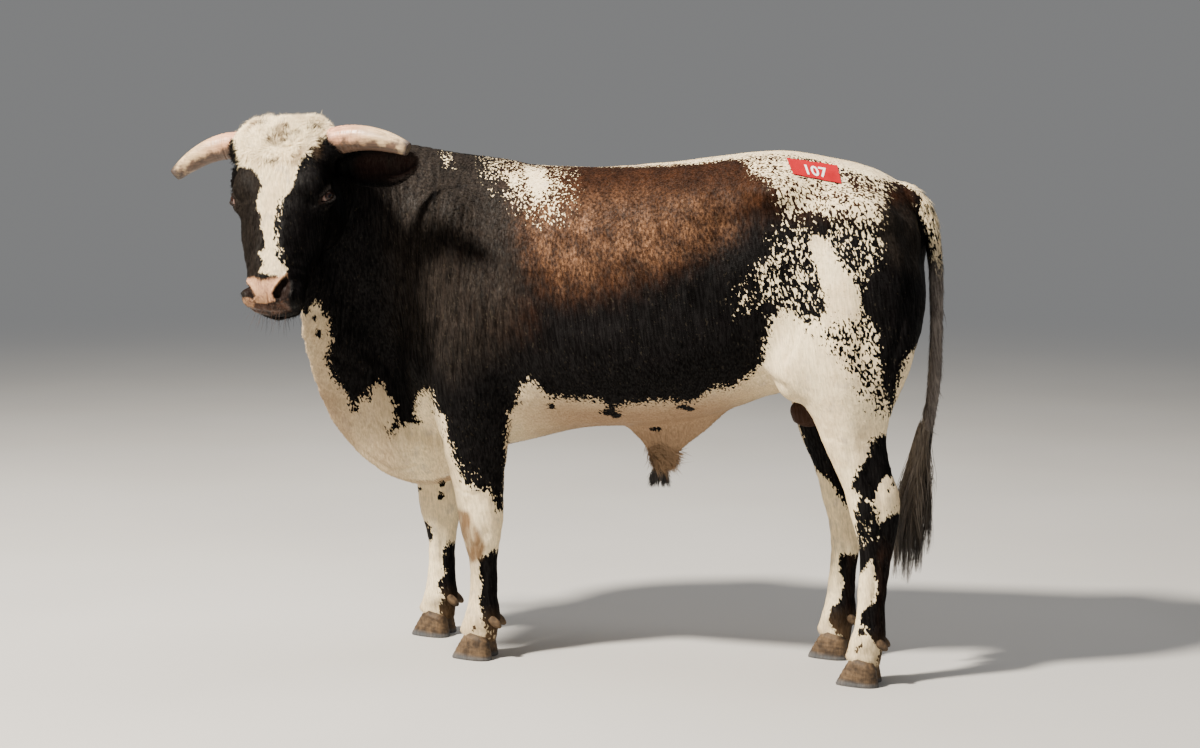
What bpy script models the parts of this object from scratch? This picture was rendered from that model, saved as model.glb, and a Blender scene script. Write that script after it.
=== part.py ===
"""A domestic bull, life size, as a still model: one closed solid for each named part of its body.

Metres, +Z up. The bull faces -X, its left side is toward -Y and its head is turned left.
While it is modelled, X = 0 lies midway between the fore and hind feet and Z = 0 is the floor.
The last step moves everything so that the origin lies under the middle of the body's box.
"""
import math
import random

import bmesh
import bpy
import numpy as np
from mathutils import Matrix, Vector

GAP = 0.0003                    # kept between solids that touch
SEAT = 1.5 * GAP                # how far a host is grown before what sits on it is cut back
VOXEL = 0.006                   # size of the cells in which the flesh is fused
FLESH_TRIANGLES = 6200
RING = 28                       # points round a section of the body

# Torso: x, top, bottom, half width, height of the widest level, squareness of the section
TORSO = [
    (-0.655, 1.200, 0.700, 0.100, 0.95, 2.0),
    (-0.600, 1.315, 0.610, 0.185, 0.94, 2.0),
    (-0.500, 1.372, 0.570, 0.232, 0.93, 1.9),
    (-0.400, 1.374, 0.565, 0.255, 0.92, 1.9),
    (-0.300, 1.354, 0.588, 0.268, 0.91, 2.0),
    (-0.150, 1.349, 0.628, 0.290, 0.90, 2.1),
    (0.000, 1.355, 0.642, 0.300, 0.90, 2.2),
    (0.150, 1.372, 0.660, 0.294, 0.92, 2.3),
    (0.280, 1.387, 0.700, 0.275, 0.95, 2.4),
    (0.400, 1.399, 0.745, 0.252, 1.00, 2.5),
    (0.520, 1.381, 0.770, 0.235, 1.03, 2.4),
    (0.630, 1.356, 0.790, 0.215, 1.04, 2.3),
    (0.710, 1.318, 0.820, 0.170, 1.04, 2.2),
    (0.765, 1.245, 0.880, 0.090, 1.05, 2.0),
]

# Neck: x, y, z of its middle, half width, reach to the crest, reach to the throat
NECK = [
    (-0.400, 0.000, 1.020, 0.190, 0.350, 0.380),
    (-0.550, 0.000, 1.085, 0.182, 0.318, 0.350),
    (-0.680, -0.035, 1.155, 0.166, 0.282, 0.290),
    (-0.770, -0.110, 1.225, 0.150, 0.236, 0.225),
    (-0.820, -0.200, 1.290, 0.132, 0.182, 0.175),
    (-0.842, -0.300, 1.335, 0.112, 0.130, 0.130),
]

# Dewlap and brisket: x, y, z of the free edge, x, y, z of the root, half thickness
DEWLAP = [
    (-0.842, -0.370, 1.060, -0.805, -0.250, 1.190, 0.022),
    (-0.868, -0.310, 0.940, -0.765, -0.150, 1.070, 0.026),
    (-0.880, -0.215, 0.800, -0.705, -0.070, 0.945, 0.034),
    (-0.862, -0.125, 0.672, -0.660, -0.030, 0.845, 0.046),
    (-0.800, -0.050, 0.548, -0.620, 0.000, 0.760, 0.062),
    (-0.712, -0.015, 0.472, -0.580, 0.000, 0.700, 0.070),
    (-0.620, 0.000, 0.446, -0.530, 0.000, 0.690, 0.070),
    (-0.530, 0.000, 0.462, -0.460, 0.000, 0.680, 0.066),
    (-0.440, 0.000, 0.520, -0.390, 0.000, 0.680, 0.062),
]

# Foreleg: z, front, back, distance from the middle, half width, narrowing of its back
FORELEG = [
    (0.920, -0.530, -0.300, 0.185, 0.075, 0.8),
    (0.760, -0.540, -0.288, 0.178, 0.078, 0.8),
    (0.630, -0.518, -0.312, 0.160, 0.072, 0.8),
    (0.520, -0.490, -0.331, 0.146, 0.059, 0.8),
    (0.435, -0.475, -0.338, 0.138, 0.051, 0.8),
    (0.375, -0.468, -0.341, 0.135, 0.054, 0.8),
    (0.325, -0.456, -0.349, 0.134, 0.052, 0.8),
    (0.275, -0.441, -0.357, 0.132, 0.042, 0.8),
    (0.210, -0.440, -0.358, 0.130, 0.036, 0.8),
    (0.155, -0.446, -0.356, 0.130, 0.040, 0.9),
    (0.115, -0.456, -0.350, 0.130, 0.047, 1.0),
    (0.082, -0.470, -0.358, 0.130, 0.044, 1.0),
    (0.030, -0.482, -0.366, 0.130, 0.050, 1.0),
]

# Hind leg, the same
HINDLEG = [
    (0.960, 0.430, 0.790, 0.170, 0.085, 0.8),
    (0.860, 0.428, 0.780, 0.172, 0.092, 0.7),
    (0.780, 0.458, 0.752, 0.172, 0.086, 0.6),
    (0.710, 0.506, 0.722, 0.172, 0.072, 0.5),
    (0.640, 0.538, 0.712, 0.172, 0.060, 0.5),
    (0.565, 0.572, 0.728, 0.172, 0.050, 0.5),
    (0.505, 0.598, 0.750, 0.172, 0.050, 0.5),
    (0.450, 0.612, 0.748, 0.171, 0.050, 0.6),
    (0.390, 0.630, 0.739, 0.170, 0.044, 0.7),
    (0.320, 0.639, 0.727, 0.170, 0.036, 0.8),
    (0.220, 0.633, 0.714, 0.170, 0.034, 0.8),
    (0.160, 0.628, 0.713, 0.170, 0.040, 0.9),
    (0.128, 0.620, 0.716, 0.170, 0.047, 1.0),
    (0.090, 0.608, 0.708, 0.170, 0.043, 1.0),
    (0.030, 0.592, 0.698, 0.170, 0.050, 1.0),
]

# The right legs stand ahead of the left ones; the shift fades toward the body
STRIDE = {"fore": -0.195, "hind": -0.120}
STRIDE_FULL = {"fore": 0.50, "hind": 0.62}
STRIDE_TOP = {"fore": (0.85, 0.45), "hind": (1.00, 0.45)}
SPREAD_RIGHT = {"fore": -0.022, "hind": -0.055}

# The head's own frame: the poll, the heading turned from -X to the left, and the tilt of the face
POLL = Vector((-0.856, -0.425, 1.482))
HEADING = math.radians(87.5)
FACE_PITCH = math.radians(67.0)
HEAD_ROLL = math.radians(3.0)          # the left horn is carried higher
FORWARD = Vector((-math.cos(HEADING), -math.sin(HEADING), 0.0))
LEVEL_SIDE = Vector((-FORWARD.y, FORWARD.x, 0.0))
LEVEL_DOWN = FORWARD * math.cos(FACE_PITCH) - Vector((0, 0, 1)) * math.sin(FACE_PITCH)
SIDE = LEVEL_SIDE * math.cos(HEAD_ROLL) - LEVEL_DOWN * math.sin(HEAD_ROLL)
DOWN = LEVEL_DOWN * math.cos(HEAD_ROLL) + LEVEL_SIDE * math.sin(HEAD_ROLL)
OUT = FORWARD * math.sin(FACE_PITCH) + Vector((0, 0, 1)) * math.cos(FACE_PITCH)

# Head: distance down the face, forehead, jaw line, half width, depth of the widest level, squareness
HEAD = [
    (-0.020, -0.050, -0.090, 0.060, -0.066, 2.0),
    (-0.008, -0.018, -0.120, 0.106, -0.065, 2.3),
    (0.025, 0.004, -0.160, 0.132, -0.065, 2.5),
    (0.080, 0.013, -0.205, 0.131, -0.070, 2.6),
    (0.140, 0.015, -0.248, 0.129, -0.085, 2.5),
    (0.190, 0.010, -0.274, 0.128, -0.095, 2.4),
    (0.245, 0.003, -0.276, 0.123, -0.105, 2.3),
    (0.300, -0.003, -0.252, 0.114, -0.110, 2.2),
    (0.355, -0.007, -0.214, 0.099, -0.105, 2.2),
    (0.405, -0.009, -0.184, 0.086, -0.095, 2.3),
    (0.445, -0.013, -0.164, 0.079, -0.086, 2.4),
    (0.476, -0.026, -0.148, 0.076, -0.082, 2.3),
    (0.498, -0.046, -0.133, 0.063, -0.086, 2.2),
    (0.512, -0.074, -0.114, 0.034, -0.092, 2.0),
]
JAW_NARROWING = 0.55

EYE_AT = (0.123, 0.203, -0.056)      # side, down, out
EYE_RADIUS = 0.0195
EYE_LOOKS = (0.86, 0.04, 0.50)
LID_HALF_LENGTH = 0.0215
LID_HALF_HEIGHT = 0.0135
LID_THICK = 0.0052

HORN_ROOT = (0.116, 0.050, -0.062)
HORN_REACH = {"left": 0.222, "right": 0.198}      # from the root point to the tip, sideways
HORN_DROOP = {"left": 0.028, "right": 0.074}
HORN_BOW = {"left": 0.012, "right": 0.008}
HORN_RADIUS = (0.037, 0.036, 0.032, 0.027, 0.0185)

EAR_ROOT = (0.124, 0.108, -0.100)
EAR_LENGTH = 0.235
EAR_HALF_WIDTH = 0.044
EAR_BACK = math.radians(42.0)
EAR_DROOP = {"left": -0.22, "right": 0.08}
EAR_THICK = 0.006
EAR_CUP = 0.030

NOSTRIL_AT = (0.047, 0.474, -0.046)
NOSTRIL_RADII = (0.0085, 0.017, 0.018)
MOUTH_OUT = -0.108
MOUTH_GROOVE = 0.0045
MOUTH_DEPTH = 0.010

CORONET = 0.060
CORONET_SLOPE = -0.22                # the coronet rises toward the toe
CLAW_LENGTH = 0.118
CLAW_WIDTH = 0.053
CLAW_CLEFT = 0.005
CLAW_SPLAY = math.radians(4.0)
TOE_LEAN = 0.62

TAIL = [
    (0.700, 0.0, 1.290, 0.034),
    (0.742, 0.0, 1.274, 0.034),
    (0.782, 0.0, 1.222, 0.029),
    (0.803, 0.0, 1.135, 0.022),
    (0.812, 0.0, 1.000, 0.0178),
    (0.812, 0.0, 0.880, 0.0168),
    (0.804, 0.0, 0.740, 0.0158),
    (0.790, 0.0, 0.660, 0.0145),
]

# The tail's brush: its middle at each height, the core's half widths, and where its locks run
BRUSH_AXIS = [(0.260, 0.748), (0.420, 0.753), (0.550, 0.769), (0.620, 0.779), (0.700, 0.796)]
BRUSH_CORE = [(0.692, 0.0115), (0.650, 0.0195), (0.600, 0.0225), (0.540, 0.0185), (0.490, 0.006)]
BRUSH_LOCKS = 32
BRUSH_TOP = 0.668
BRUSH_LOW = 0.520
BRUSH_TIPS = (0.275, 0.360)
BRUSH_SPREAD = (0.004, 0.030)
BRUSH_BULGE = 0.012
BRUSH_LOCK_WIDTH = (0.016, 0.024)
BRUSH_SEED = 7

# The tuft at the sheath's end
TUFT_X = 0.067
TUFT_TOP = 0.532
TUFT_CORE = [(0.548, 0.010), (0.530, 0.0165), (0.512, 0.014), (0.500, 0.005)]
TUFT_LOCKS = 14
TUFT_LENGTH = (0.045, 0.066)
TUFT_SPREAD = 0.016
TUFT_LOCK_WIDTH = (0.011, 0.015)
TUFT_SEED = 11

LOCK_PROFILE = (0.85, 1.0, 0.74, 0.08)      # width of a lock from its root to its tip
LOCK_THICK = 0.005
GOLDEN_ANGLE = math.radians(137.5)

TAG_CENTRE = (0.502, -0.138, 1.345)
TAG_SIZE = (0.146, 0.060)

HIDE_DARK = (0.030, 0.024, 0.021)
HIDE_WHITE = (0.78, 0.72, 0.62)
HORN_COLOUR = (0.62, 0.45, 0.33)
HOOF_COLOUR = (0.20, 0.15, 0.11)
HAIR_COLOUR = (0.16, 0.12, 0.09)
EYE_COLOUR = (0.012, 0.008, 0.006)
TAG_COLOUR = (0.72, 0.03, 0.05)


def head_point(side, down, out):
    """A point given in the head's own frame."""
    return POLL + SIDE * side + DOWN * down + OUT * out


def head_vector(side, down, out):
    """A direction given in the head's own frame."""
    return (SIDE * side + DOWN * down + OUT * out).normalized()


def clear_scene():
    for thing in list(bpy.data.objects):
        bpy.data.objects.remove(thing, do_unlink=True)


def new_collection(name):
    group = bpy.data.collections.new(name)
    bpy.context.scene.collection.children.link(group)
    return group


def principled(name, colour, roughness):
    material = bpy.data.materials.new(name)
    material.use_nodes = True
    shader = material.node_tree.nodes["Principled BSDF"]
    shader.inputs["Base Color"].default_value = (*colour, 1.0)
    shader.inputs["Roughness"].default_value = roughness
    shader.inputs["Metallic"].default_value = 0.0
    return material


def spline(rows, count):
    """The rows, resampled evenly on a smooth curve through them; distance counts columns one to three."""
    rows = np.array(rows, dtype=float)
    steps = np.linalg.norm(np.diff(rows[:, :3], axis=0), axis=1)
    at = np.concatenate(([0.0], np.cumsum(steps)))
    slopes = np.gradient(rows, at, axis=0)
    want = np.linspace(0.0, at[-1], count)
    k = np.clip(np.searchsorted(at, want) - 1, 0, len(at) - 2)
    span = (at[k + 1] - at[k])[:, None]
    t = (want - at[k])[:, None] / span
    start = (1 + 2 * t) * (1 - t) ** 2 * rows[k] + t * (1 - t) ** 2 * span * slopes[k]
    end = t * t * (3 - 2 * t) * rows[k + 1] + t * t * (t - 1) * span * slopes[k + 1]
    return start + end


def ring(centre, side, up, down, square=2.0, narrowing=1.0, count=RING):
    """A closed section round `centre`; its lower half is `narrowing` times as wide at its end."""
    points = []
    for i in range(count):
        angle = 2 * math.pi * i / count
        c = math.cos(angle)
        s = math.sin(angle)
        across = math.copysign(abs(c) ** (2 / square), c)
        along = abs(s) ** (2 / square)
        if s < 0:
            across *= 1 - (1 - narrowing) * along
        points.append(centre + side * across + (up if s >= 0 else down) * along)
    return points


def loft(bm, rings):
    """A closed surface through the rings, with fans over its ends."""
    loops = [[bm.verts.new(point) for point in points] for points in rings]
    count = len(loops[0])
    for low, high in zip(loops, loops[1:]):
        for i in range(count):
            j = (i + 1) % count
            bm.faces.new((low[i], low[j], high[j], high[i]))
    for loop in (loops[0], loops[-1]):
        middle = bm.verts.new(sum((v.co for v in loop), Vector()) / count)
        for i in range(count):
            bm.faces.new((loop[i], loop[(i + 1) % count], middle))


def ball(bm, centre, radii, turn=None):
    """An ellipsoid; `turn` is a matrix whose columns are its axes."""
    axes = (turn or Matrix.Identity(3)).to_4x4()
    place = Matrix.Translation(centre) @ axes @ Matrix.Diagonal((*radii, 1.0))
    bmesh.ops.create_icosphere(bm, subdivisions=3, radius=1.0, matrix=place)


def head_axes():
    return Matrix((SIDE, DOWN, OUT)).transposed()


def add_torso(bm):
    rings = []
    for x, top, bottom, half, level, square in spline(TORSO, 34):
        centre = Vector((x, 0, level))
        rings.append(ring(centre, Vector((0, half, 0)), Vector((0, 0, top - level)),
                          Vector((0, 0, bottom - level)), square, 0.9))
    loft(bm, rings)
    for sign in (-1, 1):
        lead = STRIDE["hind"] * 0.45 if sign > 0 else 0.0
        lead_fore = STRIDE["fore"] * 0.20 if sign > 0 else 0.0
        tilt = Matrix.Rotation(math.radians(-12), 3, "Y")
        ball(bm, (-0.462 + lead_fore * 0.3, sign * 0.160, 1.04), (0.140, 0.078, 0.280), tilt)
        ball(bm, (-0.525 + lead_fore, sign * 0.146, 0.86), (0.100, 0.068, 0.140))
        ball(bm, (-0.390 + lead_fore, sign * 0.190, 0.86), (0.135, 0.073, 0.150))
        ball(bm, (0.610 + lead, sign * 0.155, 1.000), (0.170, 0.098, 0.260))
        ball(bm, (0.690 + lead * 0.4, sign * 0.110, 1.000), (0.110, 0.080, 0.200))
        ball(bm, (0.500 + lead, sign * 0.178, 0.860), (0.110, 0.078, 0.130))
        ball(bm, (0.405, sign * 0.158, 1.280), (0.130, 0.070, 0.060))
        ball(bm, (0.570, sign * 0.146, 1.205), (0.170, 0.080, 0.110))
        ball(bm, (0.728, sign * 0.074, 1.150), (0.056, 0.048, 0.100))


def add_neck(bm):
    path = spline(NECK, 18)
    tangents = np.gradient(path[:, :3], axis=0)
    rings = []
    for (x, y, z, half, crest, throat), tangent in zip(path, tangents):
        along = Vector(tangent).normalized()
        side = Vector((0, 0, 1)).cross(along).normalized()
        up = along.cross(side)
        rings.append(ring(Vector((x, y, z)), side * half, up * crest, up * -throat, 1.9, 0.75))
    loft(bm, rings)


def add_dewlap(bm):
    path = spline(DEWLAP, 26)
    tangents = np.gradient(path[:, :3], axis=0)
    rings = []
    for row, tangent in zip(path, tangents):
        edge = Vector(row[0:3])
        root = Vector(row[3:6])
        side = Vector(tangent).cross(edge - root).normalized()
        rings.append(ring((edge + root) / 2, side * row[6], (root - edge) / 2, (edge - root) / 2, 2.2, 0.45))
    loft(bm, rings)


def add_head(bm):
    rings = []
    for down, front, back, half, widest, square in spline(HEAD, 40):
        rings.append(ring(head_point(0, down, widest), SIDE * half, OUT * (front - widest),
                          OUT * (back - widest), square, JAW_NARROWING))
    loft(bm, rings)
    axes = head_axes()
    for sign in (-1, 1):
        ball(bm, head_point(sign * 0.080, 0.172, -0.030), (0.048, 0.052, 0.040), axes)
        ball(bm, head_point(sign * 0.105, 0.207, -0.064), (0.034, 0.046, 0.036), axes)
        ball(bm, head_point(sign * 0.086, 0.215, -0.170), (0.038, 0.090, 0.072), axes)
        ball(bm, head_point(sign * 0.086, 0.275, -0.095), (0.030, 0.070, 0.030), axes)
        ball(bm, head_point(sign * 0.098, 0.060, -0.064), (0.062, 0.050, 0.050), axes)
        ball(bm, head_point(sign * 0.056, 0.468, -0.062), (0.033, 0.036, 0.042), axes)
        ball(bm, head_point(sign * 0.064, 0.006, -0.068), (0.060, 0.030, 0.052), axes)
    ball(bm, head_point(0, 0.487, -0.128), (0.048, 0.034, 0.026), axes)


def stride(kind, side, z):
    """How far ahead of its left fellow a leg is at a height, and how far further out."""
    if side == "left":
        return 0.0, 0.0
    top, share = STRIDE_TOP[kind]
    fade = min(1.0, max(0.0, (z - STRIDE_FULL[kind]) / (top - STRIDE_FULL[kind])))
    return STRIDE[kind] * (1 - (1 - share) * fade), SPREAD_RIGHT[kind] * (1 - fade)


def leg_rows(kind, side, count):
    """A leg's sections from the body down: height, front, back, y, half width, narrowing."""
    sign = -1 if side == "left" else 1
    rows = []
    for z, front, back, out, half, narrow in spline(FORELEG if kind == "fore" else HINDLEG, count):
        ahead, spread = stride(kind, side, z)
        rows.append((z, front + ahead, back + ahead, sign * (out + spread), half, narrow))
    return rows


def add_leg(bm, kind, side):
    rings = []
    for z, front, back, y, half, narrow in leg_rows(kind, side, 46):
        middle = (front + back) / 2
        rings.append(ring(Vector((middle, y, z)), Vector((0, half, 0)), Vector((front - middle, 0, 0)),
                          Vector((back - middle, 0, 0)), 2.1, narrow))
    loft(bm, rings)


def add_sheath(bm):
    """The fold of skin under the navel, which hangs as a blunt cone."""
    rings = []
    for x, z, half_length, half in spline([(0.085, 0.70, 0.185, 0.070), (0.085, 0.640, 0.120, 0.048),
                                           (0.080, 0.590, 0.062, 0.036), (0.072, 0.552, 0.032, 0.026),
                                           (0.068, 0.530, 0.018, 0.017)], 14):
        rings.append(ring(Vector((x, 0, z)), Vector((0, half, 0)), Vector((-half_length, 0, 0)),
                          Vector((half_length, 0, 0))))
    loft(bm, rings)


def mesh_object(name, bm, group):
    bmesh.ops.recalc_face_normals(bm, faces=bm.faces)
    mesh = bpy.data.meshes.new(name)
    bm.to_mesh(mesh)
    bm.free()
    thing = bpy.data.objects.new(name, mesh)
    group.objects.link(thing)
    return thing


def as_cutter(thing):
    thing.hide_render = True
    thing.display_type = "WIRE"
    return thing


def apply_modifiers(thing):
    """Replaces the object's mesh by its evaluated one."""
    bpy.context.view_layer.update()
    evaluated = thing.evaluated_get(bpy.context.evaluated_depsgraph_get())
    mesh = bpy.data.meshes.new_from_object(evaluated)
    old = thing.data
    thing.modifiers.clear()
    thing.data = mesh
    bpy.data.meshes.remove(old)


def boolean(thing, operation, other, solver="EXACT"):
    step = thing.modifiers.new(operation.lower(), "BOOLEAN")
    step.operation = operation
    step.solver = solver
    step.object = other
    apply_modifiers(thing)


def discard(thing):
    bpy.data.objects.remove(thing, do_unlink=True)


def copy_of(thing, name, group):
    twin = bpy.data.objects.new(name, thing.data.copy())
    group.objects.link(twin)
    return twin


def keep_largest(thing):
    """Drops every loose scrap but the surface of largest volume."""
    bm = bmesh.new()
    bm.from_mesh(thing.data)
    bmesh.ops.triangulate(bm, faces=bm.faces)
    bmesh.ops.dissolve_degenerate(bm, dist=1e-6, edges=bm.edges)
    bmesh.ops.triangulate(bm, faces=bm.faces)
    islands = []
    unseen = set(bm.verts)
    while unseen:
        seed = unseen.pop()
        island = {seed}
        edge = [seed]
        while edge:
            near = [e.other_vert(v) for v in edge for e in v.link_edges]
            edge = [v for v in set(near) if v not in island]
            island.update(edge)
        unseen -= island
        faces = {f for v in island for f in v.link_faces}
        volume = sum(f.verts[0].co.dot(f.verts[1].co.cross(f.verts[2].co)) for f in faces)
        islands.append((abs(volume), island))
    islands.sort(key=lambda item: item[0])
    scraps = [v for _, island in islands[:-1] for v in island]
    bmesh.ops.delete(bm, geom=scraps, context="VERTS")
    bm.to_mesh(thing.data)
    bm.free()


def grown(thing, distance, group):
    """A copy of the object, larger by `distance` all round."""
    twin = copy_of(thing, thing.name + "_grown", group)
    mesh = twin.data
    places = np.empty(len(mesh.vertices) * 3)
    normals = np.empty(len(mesh.vertices) * 3)
    mesh.vertices.foreach_get("co", places)
    mesh.vertices.foreach_get("normal", normals)
    mesh.vertices.foreach_set("co", places + normals * distance)
    mesh.update()
    return as_cutter(twin)


def seat(piece, host, guides):
    """Cuts a piece back to the surface of what it grows from."""
    cutter = grown(host, SEAT, guides)
    boolean(piece, "DIFFERENCE", cutter)
    discard(cutter)
    keep_largest(piece)


def smooth_flesh(mesh):
    """Melts the creases between the fused forms, more on the trunk than on the head and the legs."""
    count = len(mesh.vertices)
    places = np.empty(count * 3)
    mesh.vertices.foreach_get("co", places)
    places = places.reshape(-1, 3)
    ends = np.empty(len(mesh.edges) * 2, dtype=np.int64)
    mesh.edges.foreach_get("vertices", ends)
    a, b = ends.reshape(-1, 2).T
    degree = np.bincount(a, minlength=count) + np.bincount(b, minlength=count)
    offset = places - np.array(POLL)
    out = offset @ np.array(OUT)
    down = offset @ np.array(DOWN)
    on_head = (out > -0.20) & (np.abs(offset @ np.array(SIDE)) < 0.2) & (down < 0.6)
    trunk = np.clip((places[:, 2] - 0.62) / 0.18, 0.12, 1.0)
    weight = np.where(on_head, 0.10, trunk)[:, None]
    for _ in range(60):
        mean = np.empty_like(places)
        for axis in range(3):
            column = places[:, axis]
            total = np.bincount(a, column[b], count) + np.bincount(b, column[a], count)
            mean[:, axis] = total / degree
        places = places + (mean - places) * 0.5 * weight
    mesh.vertices.foreach_set("co", places.ravel())
    mesh.update()


def build_flesh(group):
    """Trunk, neck, head and legs as one body of triangles."""
    bm = bmesh.new()
    add_torso(bm)
    add_neck(bm)
    add_dewlap(bm)
    add_head(bm)
    add_sheath(bm)
    for side in ("left", "right"):
        add_leg(bm, "fore", side)
        add_leg(bm, "hind", side)
    flesh = mesh_object("flesh", bm, group)
    fuse = flesh.modifiers.new("fuse", "REMESH")
    fuse.mode = "VOXEL"
    fuse.voxel_size = VOXEL
    apply_modifiers(flesh)
    smooth_flesh(flesh.data)
    thin_flesh(flesh)
    return flesh


def thin_flesh(flesh):
    """As many triangles as the body needs, most of them where it bends."""
    reduce = flesh.modifiers.new("reduce", "DECIMATE")
    reduce.ratio = FLESH_TRIANGLES / (2 * len(flesh.data.polygons))
    apply_modifiers(flesh)
    keep_largest(flesh)


def grow_outline(outline, distance):
    """A convex outline, given counterclockwise, with every side moved outward."""
    lines = []
    for (x0, y0), (x1, y1) in zip(outline, outline[1:] + outline[:1]):
        length = math.hypot(x1 - x0, y1 - y0)
        nx, ny = (y1 - y0) / length, (x0 - x1) / length
        lines.append((nx, ny, nx * x0 + ny * y0 + distance))
    corners = []
    for (a, b, c), (d, e, f) in zip(lines[-1:] + lines[:-1], lines):
        cross = a * e - b * d
        corners.append(((c * e - b * f) / cross, (a * f - c * d) / cross))
    return corners


def prism(name, outline, frame, low, high, grow, group):
    """An outline in a frame's X and Y, drawn out along its Z from low to high."""
    bm = bmesh.new()
    floor = [bm.verts.new(frame @ Vector((x, y, low - grow))) for x, y in grow_outline(outline, grow)]
    face = bm.faces.new(floor)
    lifted = bmesh.ops.extrude_face_region(bm, geom=[face])["geom"]
    rise = frame.to_3x3() @ Vector((0, 0, high - low + 2 * grow))
    bmesh.ops.translate(bm, verts=[g for g in lifted if isinstance(g, bmesh.types.BMVert)], vec=rise)
    return as_cutter(mesh_object(name, bm, group))


def side_frame(sign):
    """X along the body, Y up, Z out to one side."""
    return Matrix(((1, 0, 0, 0), (0, 0, sign, 0), (0, 1, 0, 0), (0, 0, 0, 1)))


def head_frame():
    """X down the face, Y out of it, Z to the left."""
    frame = Matrix((DOWN, OUT, SIDE)).transposed().to_4x4()
    frame.translation = POLL
    return frame


def ccw(outline):
    area = sum(x0 * y1 - x1 * y0 for (x0, y0), (x1, y1) in zip(outline, outline[1:] + outline[:1]))
    return outline if area > 0 else outline[::-1]


def body_regions():
    """Name, outline, frame and reach of each region cut from the flesh, in order."""
    regions = [("head", [(-0.12, 0.10), (-0.12, -0.075), (0.235, -0.300), (0.62, -0.125), (0.62, 0.10)],
                head_frame(), -0.22, 0.22)]
    for side, sign in (("left", -1), ("right", 1)):
        step = STRIDE["fore"] if side == "right" else 0.0
        half_step = step * 0.72
        frame = side_frame(sign)
        regions.append(("forearm_" + side, [(-0.565 + half_step, 0.660), (-0.53 + step, 0.405),
                                            (-0.30 + step, 0.405), (-0.255 + half_step, 0.755)],
                        frame, 0.060, 0.40))
        regions.append(("forefoot_" + side, [(-0.60 + step, 0.405), (-0.60 + step, 0.0),
                                             (-0.28 + step, 0.0), (-0.28 + step, 0.405)],
                        frame, 0.010, 0.40))
        step = STRIDE["hind"] if side == "right" else 0.0
        half_step = step * 0.72
        regions.append(("gaskin_" + side, [(0.37 + half_step, 0.720), (0.50 + step, 0.560),
                                           (0.79 + step, 0.560), (0.84 + half_step, 0.800)],
                        frame, 0.045, 0.40))
        regions.append(("hindfoot_" + side, [(0.50 + step, 0.560), (0.52 + step, 0.0),
                                             (0.80 + step, 0.0), (0.80 + step, 0.560)],
                        frame, 0.010, 0.40))
    regions.append(("neck", [(-1.10, 1.62), (-1.10, 0.600), (-0.655, 0.640), (-0.500, 1.400), (-0.500, 1.62)],
                    side_frame(1), -0.60, 0.30))
    return regions


def part_flesh(flesh, group, guides):
    """Cuts the flesh into its named parts with thin gaps between them."""
    parts = {}
    for name, outline, frame, low, high in body_regions():
        outline = ccw(outline)
        part = copy_of(flesh, name, group)
        inside = prism(name + "_region", outline, frame, low, high, 0.0, guides)
        boolean(part, "INTERSECT", inside)
        keep_largest(part)
        discard(inside)
        wider = prism(name + "_region_wide", outline, frame, low, high, GAP, guides)
        boolean(flesh, "DIFFERENCE", wider)
        discard(wider)
        parts[name] = part
    keep_largest(flesh)
    flesh.name = "torso"
    parts["torso"] = flesh
    return parts


def eye_frame(sign):
    """The eye's centre and axes: toward the muzzle, up to the brow, and the way it looks."""
    look = head_vector(sign * EYE_LOOKS[0], EYE_LOOKS[1], EYE_LOOKS[2])
    toward = (DOWN - look * DOWN.dot(look)).normalized()
    tilted = Matrix.Rotation(math.radians(-12 * sign), 3, look) @ toward
    brow = tilted.cross(look).normalized()
    if brow.dot(OUT) < 0:
        brow = -brow
    centre = head_point(sign * EYE_AT[0], EYE_AT[1], EYE_AT[2])
    return centre, tilted, brow, look


def add_eye(name, sign, group):
    centre, _, _, _ = eye_frame(sign)
    bm = bmesh.new()
    bmesh.ops.create_uvsphere(bm, u_segments=14, v_segments=8, radius=EYE_RADIUS,
                              matrix=Matrix.Translation(centre))
    return mesh_object(name, bm, group)


def add_lids(head, sign, guides):
    """A rolled rim round the eye, thicker above, fused to the head."""
    centre, toward, brow, look = eye_frame(sign)
    count = 18
    loops = []
    bm = bmesh.new()
    for i in range(count):
        angle = 2 * math.pi * i / count
        along = math.cos(angle) * LID_HALF_LENGTH
        up = math.sin(angle) * LID_HALF_HEIGHT
        lift = math.sqrt(max(1e-6, (EYE_RADIUS + 0.001) ** 2 - min(along * along + up * up, EYE_RADIUS ** 2)))
        thick = LID_THICK * (1.25 if up > 0 else 0.85)
        spot = centre + toward * along + brow * up + look * lift * 0.92
        outward = (toward * along + brow * up).normalized()
        loops.append([bm.verts.new(spot + (outward * math.cos(k * math.pi / 3) +
                                           look * math.sin(k * math.pi / 3)) * thick) for k in range(6)])
    for i in range(count):
        near, far = loops[i], loops[(i + 1) % count]
        for k in range(6):
            bm.faces.new((near[k], near[(k + 1) % 6], far[(k + 1) % 6], far[k]))
    rim = as_cutter(mesh_object("lid_rim", bm, guides))
    boolean(head, "UNION", rim)
    discard(rim)


def cut_ball(head, centre, radii, turn, guides, detail=2):
    bm = bmesh.new()
    place = Matrix.Translation(centre) @ turn.to_4x4() @ Matrix.Diagonal((*radii, 1.0))
    bmesh.ops.create_icosphere(bm, subdivisions=detail, radius=1.0, matrix=place)
    cutter = as_cutter(mesh_object("hollow", bm, guides))
    boolean(head, "DIFFERENCE", cutter)
    discard(cutter)


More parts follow.
